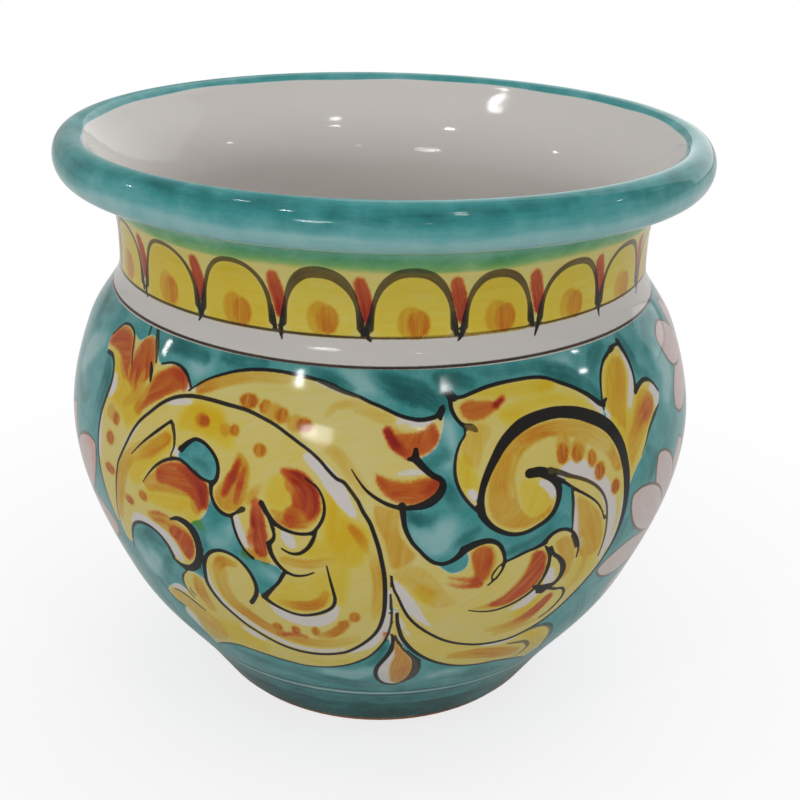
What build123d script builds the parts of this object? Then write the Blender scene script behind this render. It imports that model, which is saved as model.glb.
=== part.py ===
"""Round-bellied cachepot of tin-glazed earthenware: a thrown clay body and the glaze coats fired on it.

Every piece is a solid of revolution about Z. Lengths are in millimetres, the origin is the centre of
the circle that the foot stands on, and a profile point is written as (radius, height).
"""

from build123d import *
from math import atan2, cos, degrees, radians, sin
import os

# Overall sizes
pot_height = 227.5
rim_diameter = 250.0
foot_diameter = 138.0
foot_top_diameter = 161.0
foot_height = 17.5

# How far the rim reaches out beyond the belly and beyond the neck
rim_beyond_belly = 0.5
rim_beyond_neck = 22.0

# Neck, from the crease where the rounded shoulder turns up into it to the crest of the rim
neck_height = 54.0
neck_straight = 13.5
crease_blend = 5.5

# Rolled rim, an oval bead
bead_width = 13.2
bead_height = 16.8
bead_under_angle = -100.0
bead_inner_angle = 140.0

# Walls
wall = 7.0
floor_thickness = 7.0
floor_blend = 24.0
foot_ring_width = 12.0
foot_recess = 5.0
foot_edge_round = 1.5

# Glaze coats
glaze = 0.6
bare_foot_height = 2.5
white_band_height = 9.5
white_band_below_crease = 5.5
rim_coat_outer_drop = 20.5
rim_coat_inner_drop = 8.5

# Where the rounded profile passes, as shares of the way between the sizes that it joins
belly_height_share = 0.631
lower_belly_share = (0.632, 0.416)
shoulder_share = (0.372, 0.625)

# Work that is cut away starts and ends this far outside the piece
overrun = 20.0

foot_radius = foot_diameter / 2
foot_top_radius = foot_top_diameter / 2
belly_radius = rim_diameter / 2 - rim_beyond_belly
neck_radius = rim_diameter / 2 - rim_beyond_neck
bead_radius = (rim_diameter - bead_width) / 2
bead_centre_height = pot_height - bead_height / 2
crease_height = pot_height - neck_height
neck_straight_top = crease_height + neck_straight
floor_height = foot_recess + floor_thickness
white_band_low = crease_height - white_band_below_crease
white_band_top = white_band_low + white_band_height
neck_coat_top = pot_height - rim_coat_outer_drop
rim_coat_inner_edge = pot_height - rim_coat_inner_drop
above_rim = pot_height + overrun
half_turn = 180.0
quarter_turn = 90.0


def direction(slope):
    """Unit vector at a slope in degrees from the horizontal."""
    return (cos(radians(slope)), sin(radians(slope)))


def between(start, end, share):
    """The point that lies share[0] of the way along the radius and share[1] of the way up."""
    radius = start[0] + (end[0] - start[0]) * share[0]
    height = start[1] + (end[1] - start[1]) * share[1]
    return (radius, height)


def sunk(point, slope, depth):
    """A profile point moved straight into the clay from a surface that climbs at this slope."""
    along = direction(slope)
    return (point[0] - along[1] * depth, point[1] + along[0] * depth)


def bead_point(angle, depth):
    """A point on the rim's oval bead, depth inside its surface."""
    across = bead_width / 2 - depth
    up = bead_height / 2 - depth
    return (
        bead_radius + across * cos(radians(angle)),
        bead_centre_height + up * sin(radians(angle)),
    )


def bead_tangent(angle, depth):
    """Direction in which the bead's oval runs at an angle, counter-clockwise."""
    across = bead_width / 2 - depth
    up = bead_height / 2 - depth
    return (-across * sin(radians(angle)), up * cos(radians(angle)))


def draw_bead(start_angle, end_angle, depth):
    """Part of the rim's bead, depth inside its surface."""
    EllipticalCenterArc(
        (bead_radius, bead_centre_height),
        bead_width / 2 - depth,
        bead_height / 2 - depth,
        start_angle,
        arc_size=end_angle - start_angle,
    )


def slope_of(start, end):
    """Slope of the straight way from one profile point to another, in degrees from the horizontal."""
    return degrees(atan2(end[1] - start[1], end[0] - start[0]))


# Profile points that both the outside and the inside follow, and the slopes there
foot_edge = (foot_radius, 0)
foot_top = (foot_top_radius, foot_height)
crease = (neck_radius, crease_height)
belly = (belly_radius, foot_height + (crease_height - foot_height) * belly_height_share)
lower_belly = between(foot_top, belly, lower_belly_share)
shoulder = between(belly, crease, shoulder_share)
foot_slope = slope_of(foot_edge, foot_top)
foot_top_slope = slope_of(foot_top, lower_belly)
lower_belly_slope = slope_of(foot_top, belly)
shoulder_slope = slope_of(belly, crease)
crease_slope = slope_of(shoulder, crease)


def foot_low(depth):
    """Where the outer profile meets the ground, depth inside the surface."""
    return (foot_radius - depth / sin(radians(foot_slope)), 0)


def draw_outside(depth):
    """Outer profile from the ground to the crest of the rim, depth inside the surface."""
    foot_high = sunk(foot_top, foot_top_slope, depth)
    crease_along = direction(crease_slope)
    crease_foot = (crease[0] - crease_along[0] * crease_blend, crease[1] - crease_along[1] * crease_blend)
    crease_low = sunk(crease_foot, crease_slope, depth)
    crease_high = (neck_radius - depth, crease_height + crease_blend)
    neck_high = (neck_radius - depth, neck_straight_top)
    bead_low = bead_point(bead_under_angle, depth)
    Line(foot_low(depth), foot_high)
    Spline(
        foot_high,
        sunk(lower_belly, lower_belly_slope, depth),
        sunk(belly, quarter_turn, depth),
        sunk(shoulder, shoulder_slope, depth),
        crease_low,
        crease_high,
        tangents=[
            direction(foot_top_slope),
            direction(lower_belly_slope),
            direction(quarter_turn),
            direction(shoulder_slope),
            crease_along,
            direction(quarter_turn),
        ],
    )
    Line(crease_high, neck_high)
    Spline(
        neck_high,
        bead_low,
        tangents=[direction(quarter_turn), bead_tangent(bead_under_angle, depth)],
    )
    draw_bead(bead_under_angle, quarter_turn, depth)


def draw_inside(depth):
    """Inner profile from the crest of the rim down to the centre of the floor, depth into the wall."""
    inset = wall - depth
    bead_inside = bead_point(bead_inner_angle, depth)
    neck_high = (neck_radius - inset, neck_straight_top)
    crease_inside = (neck_radius - inset, crease_height)
    above_foot = sunk(foot_top, foot_top_slope, inset)
    floor_edge = (foot_top_radius - wall - floor_blend, floor_height - depth)
    draw_bead(quarter_turn, bead_inner_angle, depth)
    Spline(
        bead_inside,
        neck_high,
        tangents=[bead_tangent(bead_inner_angle, depth), direction(-quarter_turn)],
    )
    Line(neck_high, crease_inside)
    Spline(
        crease_inside,
        sunk(shoulder, shoulder_slope, inset),
        sunk(belly, quarter_turn, inset),
        sunk(lower_belly, lower_belly_slope, inset),
        above_foot,
        tangents=[
            direction(-quarter_turn),
            direction(shoulder_slope - half_turn),
            direction(-quarter_turn),
            direction(lower_belly_slope - half_turn),
            direction(foot_top_slope - half_turn),
        ],
    )
    Spline(
        above_foot,
        floor_edge,
        tangents=[direction(foot_top_slope - half_turn), direction(half_turn)],
    )
    Line(floor_edge, (0, floor_height - depth))


def pot_outline(depth):
    """Half outline of the filled pot, depth inside its surface, with the mouth's column of air on top."""
    with BuildLine() as outline:
        draw_outside(depth)
        crest = (bead_radius, pot_height - depth)
        Polyline(crest, (bead_radius, above_rim), (0, above_rim), (0, 0), foot_low(depth))
    return outline.edges()


def air_outline(depth):
    """Half outline of the air in and above the pot, with its surface depth inside the wall."""
    with BuildLine() as outline:
        draw_inside(depth)
        crest = (bead_radius, pot_height - depth)
        Polyline((0, floor_height - depth), (0, above_rim), (bead_radius, above_rim), crest)
    return outline.edges()


def keep_between(low, high):
    """Keep what lies between two heights of the section that is being drawn."""
    with Locations((0, low)):
        Rectangle(rim_diameter, high - low, align=(Align.MIN, Align.MIN), mode=Mode.INTERSECT)


def outer_coat(low, high):
    """Section of the glaze on the outside of the pot, between two heights."""
    make_face(pot_outline(0))
    make_face(pot_outline(glaze), mode=Mode.SUBTRACT)
    keep_between(low, high)


def inner_coat(low, high):
    """Section of the glaze on the inside of the pot, between two heights."""
    make_face(air_outline(glaze))
    make_face(air_outline(0), mode=Mode.SUBTRACT)
    keep_between(low, high)


# Thrown clay: the whole pot without its glaze, on a bare turned foot ring
with BuildPart() as clay_body:
    with BuildSketch(Plane.XZ) as clay_section:
        make_face(pot_outline(glaze))
        make_face(air_outline(glaze), mode=Mode.SUBTRACT)
        Rectangle(
            foot_radius - foot_ring_width,
            foot_recess,
            align=(Align.MIN, Align.MIN),
            mode=Mode.SUBTRACT,
        )
    revolve(axis=Axis.Z)
    standing_edges = clay_body.edges().filter_by(GeomType.CIRCLE).group_by(Axis.Z)[0]
    fillet(standing_edges, foot_edge_round)
clay_body.part.label = "clay_body"

# White glaze of the inside, from the floor up to the coloured rim
with BuildPart() as inner_glaze:
    with BuildSketch(Plane.XZ) as inner_section:
        inner_coat(0, rim_coat_inner_edge)
    revolve(axis=Axis.Z)
inner_glaze.part.label = "inner_glaze"

# Coloured glaze that wraps the rolled rim
with BuildPart() as rim_glaze:
    with BuildSketch(Plane.XZ) as rim_outer_section:
        outer_coat(neck_coat_top, pot_height)
    revolve(axis=Axis.Z)
    with BuildSketch(Plane.XZ) as rim_inner_section:
        inner_coat(rim_coat_inner_edge, pot_height)
    revolve(axis=Axis.Z)
rim_glaze.part.label = "rim_glaze"

# Painted glaze of the neck, under the rim
with BuildPart() as neck_glaze:
    with BuildSketch(Plane.XZ) as neck_section:
        outer_coat(white_band_top, neck_coat_top)
    revolve(axis=Axis.Z)
neck_glaze.part.label = "neck_glaze"

# White band in the crease between neck and shoulder
with BuildPart() as white_band_glaze:
    with BuildSketch(Plane.XZ) as white_band_section:
        outer_coat(white_band_low, white_band_top)
    revolve(axis=Axis.Z)
white_band_glaze.part.label = "white_band_glaze"

# Painted glaze of the belly
with BuildPart() as belly_glaze:
    with BuildSketch(Plane.XZ) as belly_section:
        outer_coat(foot_height, white_band_low)
    revolve(axis=Axis.Z)
belly_glaze.part.label = "belly_glaze"

# Coloured glaze of the foot, which stops above the bare standing ring
with BuildPart() as foot_glaze:
    with BuildSketch(Plane.XZ) as foot_section:
        outer_coat(bare_foot_height, foot_height)
    revolve(axis=Axis.Z)
foot_glaze.part.label = "foot_glaze"

os.makedirs("parts", exist_ok=True)
export_step(clay_body.part, "parts/clay_body.step")
export_step(inner_glaze.part, "parts/inner_glaze.step")
export_step(rim_glaze.part, "parts/rim_glaze.step")
export_step(neck_glaze.part, "parts/neck_glaze.step")
export_step(white_band_glaze.part, "parts/white_band_glaze.step")
export_step(belly_glaze.part, "parts/belly_glaze.step")
export_step(foot_glaze.part, "parts/foot_glaze.step")
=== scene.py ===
"""Painted cachepot: its glazes, its brushwork and the studio it stands in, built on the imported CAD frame."""

import math

import bpy
import numpy as np
from mathutils import Matrix, Vector
from mathutils.bvhtree import BVHTree
from mathutils.geometry import delaunay_2d_cdt


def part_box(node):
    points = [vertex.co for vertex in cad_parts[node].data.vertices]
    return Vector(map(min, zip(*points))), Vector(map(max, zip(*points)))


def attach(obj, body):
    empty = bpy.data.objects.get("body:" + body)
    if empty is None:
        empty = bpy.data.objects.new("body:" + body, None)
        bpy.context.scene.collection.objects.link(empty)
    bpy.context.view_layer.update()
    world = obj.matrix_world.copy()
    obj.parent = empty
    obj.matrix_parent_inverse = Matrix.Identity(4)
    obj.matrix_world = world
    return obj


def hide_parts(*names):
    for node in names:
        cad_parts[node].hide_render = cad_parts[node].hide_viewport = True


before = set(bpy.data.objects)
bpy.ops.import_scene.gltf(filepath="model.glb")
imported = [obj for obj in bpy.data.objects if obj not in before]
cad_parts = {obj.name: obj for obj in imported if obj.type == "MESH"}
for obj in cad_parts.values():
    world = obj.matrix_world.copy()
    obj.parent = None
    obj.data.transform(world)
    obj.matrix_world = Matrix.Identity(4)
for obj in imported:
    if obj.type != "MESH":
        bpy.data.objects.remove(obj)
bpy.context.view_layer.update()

bl_info = {
    "name": "Painted cachepot",
    "version": (1, 0, 0),
    "blender": (4, 5, 0),
    "location": "View3D > Sidebar > Cachepot",
    "description": "Builds the glazed and painted surfaces of a round cachepot on its CAD frame",
    "category": "Object",
}

MM = 0.001
PIGMENTS = ("ink", "yellow", "ochre", "red", "teal", "deep", "pink")

# A pigment's edge is stored as a distance in millimetres that is cut off here
FAR = 6.0

# Steps in millimetres at which strokes and closed outlines are sampled, and drawn lines for the mesh
STROKE_STEP = 1.0
OUTLINE_STEP = 1.5
RAIL_STEP = 0.9

# The drawing is laid out as (u, s): u runs round the pot to the right of its front, measured on the
# widest circle of the belly, and s runs up the outer profile from the ground, both in millimetres.
BELLY_RADIUS = 124.5
TURN = 2 * math.pi * BELLY_RADIUS
HALF_TURN = TURN / 2

# Outlines of the belly's ornament

SCROLL_BACK = (
    (-110, 108), (-108.2, 116), (-106.5, 122), (-105, 128), (-104, 132), (-103, 136), (-101, 140),
    (-98.5, 145), (-96, 150), (-93, 154.5), (-88, 159.5), (-83, 164), (-77, 167.5), (-71, 169.3),
    (-62, 170), (-55, 169.8), (-45, 169), (-40, 167.7), (-35, 166), (-30, 163.5), (-26, 161.3),
    (-22, 159), (-18, 156), (-15, 153), (-12, 150.5), (-10, 149.7), (-8, 147.5), (-5, 143.5),
)
SCROLL_FRONT = (
    (-5, 143.5), (-3.3, 140), (-1, 136.2), (0.5, 132), (2, 127), (3.2, 121), (4, 116), (4.4, 110),
    (4.5, 103), (4.3, 98), (3.6, 93), (2.3, 88), (0, 83.5), (-3, 79.5), (-7, 75.5), (-10, 73.2),
    (-15, 71.2), (-20, 70.1), (-26, 69.7), (-32, 70.3), (-37, 71.7), (-42, 74), (-47, 77),
    (-52, 80.5), (-56, 84.5), (-60, 89),
)
SCROLL_CURL = (
    (-60, 89), (-62.5, 94), (-63.8, 99), (-63.3, 104), (-62.3, 109), (-60.5, 113), (-57.5, 116),
    (-54, 117.3), (-50.5, 117), (-47, 115.2), (-44.3, 112), (-42.6, 108), (-42, 104),
)
SCROLL_INSIDE = (
    (-41, 100.5), (-36.5, 104), (-33, 108), (-31, 112), (-32, 115), (-36, 116.5), (-41.5, 117.5),
    (-44, 119.5), (-46, 123.5), (-47.6, 128), (-48.6, 131.3), (-50.5, 132.4), (-53, 133.3),
    (-55.5, 135.8), (-56.5, 139), (-57.2, 142.6), (-55, 144.5), (-54.5, 147), (-55.5, 150.5),
    (-58, 153.5), (-62, 155.6), (-65, 155.6), (-68, 153.8), (-70.7, 151), (-71.5, 148.5),
    (-70, 147), (-67, 146), (-64, 144.3), (-60.5, 143), (-57.6, 142.6), (-57, 138),
    (-57.3, 134.5), (-58.8, 131), (-61, 128), (-64, 126.5), (-66, 124.5), (-63.5, 121.5),
    (-62.6, 117), (-63, 112), (-65, 107), (-68, 103.7), (-71.5, 102.3), (-75, 102.8), (-78, 104),
    (-78.5, 108), (-80, 112), (-83, 114.7), (-86, 115.8), (-90, 116), (-94, 115), (-98, 112.5),
    (-101.5, 108), (-104, 101), (-108, 100),
)
CREST_TOP = (
    (-72, 171), (-69, 173.5), (-65, 176.5), (-60, 179), (-55, 181), (-50, 182.4), (-45, 183.2),
    (-40, 183.6), (-35, 183.6), (-30, 183.3), (-25, 182.8), (-20, 182), (-16, 181), (-12, 179.5),
    (-8, 178.3), (-5, 177.3), (-2, 176), (2, 174.6), (5, 173.3), (8, 172), (12, 170.8),
    (15, 170.3), (19, 170.6), (22, 171.6), (23.5, 173.8),
)
CREST_TIPS = (
    (24, 170), (23, 165.5), (21.5, 161.8), (18, 158.8), (15.5, 157.5), (17, 154.5), (20, 151.8),
    (22.7, 150.4), (23.7, 148.4), (22.7, 146), (20, 143.7), (15, 141.6), (10, 141.4), (9.8, 139),
    (10.5, 134.5), (11.7, 131.5), (13.3, 128.5), (15.5, 125.8), (18, 122.8), (20.5, 120.6),
)
MAIN_STEM = (
    (6.5, 115.3), (6.8, 112.5), (7.6, 109), (9, 105.5), (10.6, 101), (12.5, 96.5), (15.2, 92),
    (19, 87.5), (23, 83.7), (28, 79.8), (33, 77), (38, 75), (43, 73.5), (48, 72.7), (53, 72.3),
    (58, 72.4), (62, 73.2), (66, 74.6), (70, 76.2), (75, 79.2), (80, 83.5), (84, 88), (88, 93),
    (92.5, 99.5), (95.5, 106), (97.5, 112), (98.6, 120), (98.8, 127), (98.6, 133), (98.1, 139),
    (97.2, 144), (95.8, 149),
)
RIGHT_CREST = (
    (28, 177), (31, 177), (35, 178), (40, 179.3), (45, 180.1), (50, 180.5), (55, 180.6),
    (60, 180.5), (64, 180), (67.5, 179), (72, 176.8), (77, 174.3), (80, 172.5), (83, 170.5),
    (86, 168), (88.5, 166),
)
RIGHT_SIDE = (
    (26.5, 176.5), (27, 173), (28.5, 170), (31, 167.5), (31.3, 165), (29.3, 162), (28, 159),
    (27.2, 155), (27.3, 151), (28.5, 147), (30.5, 143.5), (33, 140.5), (35.5, 138),
)
RIGHT_UNDER = (
    (38, 134.8), (42, 131), (46, 128.7), (51, 127.8), (57, 129.3), (62, 132.2), (65, 136.5),
    (65.5, 141), (65.5, 144), (70.5, 141.2), (71.3, 139), (71.6, 132), (72, 126), (72.5, 123),
    (69.5, 125), (66, 125.4), (62.5, 123.7), (60.5, 121.8), (56, 120.4), (50, 118.6),
    (46.3, 117.3), (45.3, 121), (43, 125), (39.5, 127), (35, 126.6), (31.5, 125.2), (32.5, 121),
    (31.5, 117), (27, 115.5), (23, 118.5), (20.5, 120.6), (12, 118),
)
LOWER_EDGE = (
    (-79, 53), (-75, 56), (-70, 59), (-65, 61.2), (-60, 62.3), (-55, 62.1), (-50, 61.6),
    (-45, 61), (-40, 60.2), (-35, 59.6), (-30, 59), (-25, 59.4), (-20, 60.2), (-15, 61.8),
    (-10, 64), (-5, 67.3), (-1.5, 70.3), (1.2, 73.8), (3.6, 78), (5.2, 82), (6.2, 86), (7, 91),
    (7.1, 97), (6.8, 102), (6.4, 107),
)
SECOND_STEM = (
    (9, 97), (9.4, 92), (10.3, 87.5), (11.5, 83), (13.7, 78.7), (17.3, 73.5), (22, 68.8),
    (27, 65), (32, 62), (37, 59.7), (43, 57.8), (50, 56.4), (57, 55.7), (64, 53.8), (70, 51.7),
    (75, 49.5), (80, 46.5),
)
LEFT_LEAF_SIDE = (
    (-126, 170.4), (-121, 170.3), (-118.5, 168.8), (-116.8, 166), (-116, 162), (-117, 156.5),
    (-118.6, 150), (-119, 142), (-118.5, 135), (-117.5, 128), (-116.2, 122), (-114, 113),
    (-112.5, 108.5),
)
LEFT_LEAF_TOP = (
    (-70, 169.5), (-71.5, 172.3), (-75, 175.8), (-79, 177.4), (-84, 177.8), (-89, 176.3),
    (-91.5, 177), (-94.5, 180.5), (-98, 183.5), (-103, 184), (-107.5, 180.5), (-112, 181.3),
    (-118, 183.2), (-124, 182), (-128, 178.8), (-129.5, 175), (-128, 171.8),
)
RIGHT_LEAVES = (
    (89.8, 165), (90.2, 169), (91.5, 173), (94, 176.8), (97, 179.3), (100.5, 181), (105, 182.3),
    (109.5, 182.2), (111.3, 178), (111.5, 172), (110.5, 167.5), (113, 166.3), (117, 167),
    (121, 166), (125, 162.7), (127.3, 159.3), (125, 155.5), (121, 153), (116, 150),
    (112.5, 146), (110, 142.5), (106, 139.5), (102, 135.5), (99, 131), (98.1, 139), (95.8, 149),
    (91.5, 157),
)
DROP = (
    (6, 84.5), (7, 80), (7.2, 75), (6, 71), (4, 67), (2.4, 63), (1.6, 58), (2, 53.5),
    (4, 48.7), (7, 46), (11, 45), (15, 46.5), (18, 50.5), (20, 56), (20.3, 61), (19, 66.5),
    (16, 71.5), (13, 76.5), (11.2, 82), (10, 88), (9, 94), (8, 100), (7, 96), (6.6, 90),
)
LEFT_SCROLL = SCROLL_BACK + SCROLL_FRONT[1:] + SCROLL_CURL[1:] + SCROLL_INSIDE
CREST = CREST_TOP + CREST_TIPS + ((20, 110), (6, 100), (4.4, 110), (3.2, 121), (-3.3, 140),
    (-12, 150.5), (-22, 159), (-40, 167.7), (-55, 169.8), (-71, 169.3))
RIGHT_SCROLL = MAIN_STEM + ((91.5, 157), (89.5, 161)) + RIGHT_CREST[::-1] + RIGHT_SIDE + RIGHT_UNDER
LOWER_BAND = ((-74, 100.5), (-77, 96), (-77.7, 92), (-77, 89), (-80, 90.5), (-84, 89.5),
    (-88, 86.5), (-92, 82.5), (-93, 80), (-89, 77), (-86, 75.5), (-87.5, 71.5), (-84, 66),
    (-81, 60)) + LOWER_EDGE + ((4.4, 108),) + SCROLL_FRONT[9:] + SCROLL_CURL[1:3] + (
    (-66, 101), (-70, 101.8))
LOWER_LEAF = SECOND_STEM + ((84, 50), (86.5, 56), (85.5, 62), (83, 68), (79, 72), (74, 74.3),
    (68, 75), (64, 74)) + MAIN_STEM[3:15][::-1]
LEFT_LEAF = LEFT_LEAF_SIDE + SCROLL_BACK[:13] + LEFT_LEAF_TOP

# The shapes that the ground colour leaves white
RESERVES = (LEFT_SCROLL, CREST, RIGHT_SCROLL, LOWER_BAND, LOWER_LEAF, DROP, LEFT_LEAF, RIGHT_LEAVES)

# Washes: (load, grain in degrees, outline). The yellow lies under all, then comes the shading laid wide
# in ochre, and the red over it.

YELLOW_WASHES = (
    (0.42, 85, LEFT_LEAF),
    (0.45, 30, LEFT_SCROLL),
    (0.38, 10, CREST),
    (0.44, 40, RIGHT_SCROLL),
    (0.46, 10, LOWER_BAND),
    (0.5, -20, LOWER_LEAF),
    (0.5, 60, RIGHT_LEAVES),
    (0.85, 60, ((-116, 157), (-112, 156), (-104, 153), (-99, 150.5), (-95, 154),
        (-92.5, 158.5), (-95, 163), (-100, 167), (-106, 170), (-112, 170), (-118, 172),
        (-125, 171.5), (-119, 170), (-115, 166), (-112.5, 162))),
    (0.9, 10, ((-73, 157), (-70, 158), (-64, 158), (-58, 157.5), (-54, 161), (-55, 166),
        (-62, 168.5), (-70, 167))),
    (0.75, 60, ((-57, 157), (-51, 156), (-50, 160), (-55, 161))),
    (0.72, 40, ((-36.5, 141.5), (-36, 146), (-33, 150), (-29.5, 149.5), (-27.3, 146),
        (-27, 142), (-29, 139), (-33, 138))),
    (0.92, 80, ((-15.5, 148), (-12, 145), (-9.5, 139), (-6, 136), (-2.5, 134),
        (-2, 127), (-4, 120), (-10, 118), (-15, 125), (-16, 133), (-16, 141))),
    (0.7, 85, ((-13, 120), (-9, 120), (-8.5, 108), (-11, 100), (-12.5, 106))),
    (0.85, 10, ((-87, 131), (-80, 133), (-73, 134), (-66, 134.5), (-64.5, 132),
        (-66, 129.5), (-72, 127.5), (-80, 127.5), (-86, 128))),
    (0.8, 45, ((-96, 138), (-89, 145.5), (-81, 152), (-77, 157), (-75, 150),
        (-80, 144.5), (-86, 139), (-90, 132), (-95, 132))),
    (0.62, 30, ((-38, 99.5), (-34, 103.5), (-31, 110), (-28, 112.5), (-22, 113.5),
        (-16, 115), (-14.5, 107), (-14.5, 101), (-19, 97.5), (-26, 95), (-33, 96.5))),
    (0.7, 0, ((-28, 122), (-20, 121), (-14, 121), (-15, 128), (-19, 129), (-23, 124))),
    (0.75, 0, ((33, 178), (42, 179), (52, 179.8), (62, 179.5), (68, 177.5), (62, 174.5),
        (50, 175.5), (44, 175.5), (38, 176.5))),
    (0.95, 0, ((62, 179), (66, 179), (69.5, 177), (66, 175), (62, 175.5))),
    (0.8, 80, ((28.5, 157), (31, 158), (34, 152), (35, 147), (32, 145), (29, 148.5),
        (28.3, 152))),
    (0.75, 0, ((44, 170), (52, 173), (62, 174), (72, 173), (80, 169), (84, 166),
        (76, 168), (66, 170), (56, 169), (48, 166))),
    (0.7, 60, ((50, 146), (54, 147), (58, 145), (62, 140), (62, 135.5), (57, 132.5),
        (52, 135), (50, 140))),
    (0.8, 40, ((58, 86), (63, 89), (66, 95), (64, 96.5), (60, 92), (54, 88))),
    (0.75, 60, ((15, 110), (17, 111), (22, 105), (20, 102), (16, 104))),
    (0.75, 70, ((92, 164), (93, 172), (97, 177), (103, 179.5), (107, 177), (106, 170),
        (102, 161), (104, 158), (110, 163), (118, 163.5), (121, 157), (112, 149.5), (104, 142),
        (100, 137), (98.5, 146), (94, 156))),
    (0.6, 90, ((82, 122), (90, 120), (89, 104), (84, 96), (78, 95), (78, 110))),
    (0.7, 10, ((-62, 79), (-54, 79), (-50, 73), (-44, 69), (-46, 64), (-58, 64), (-68, 66),
        (-69, 75))),
    (0.6, -10, ((-30, 65), (-18, 66), (-8, 69), (-14, 66), (-24, 62))),
    (0.8, -60, ((65, 73), (72, 72), (79, 68), (82, 60), (80, 55), (74, 60), (71, 67))),
)
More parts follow.
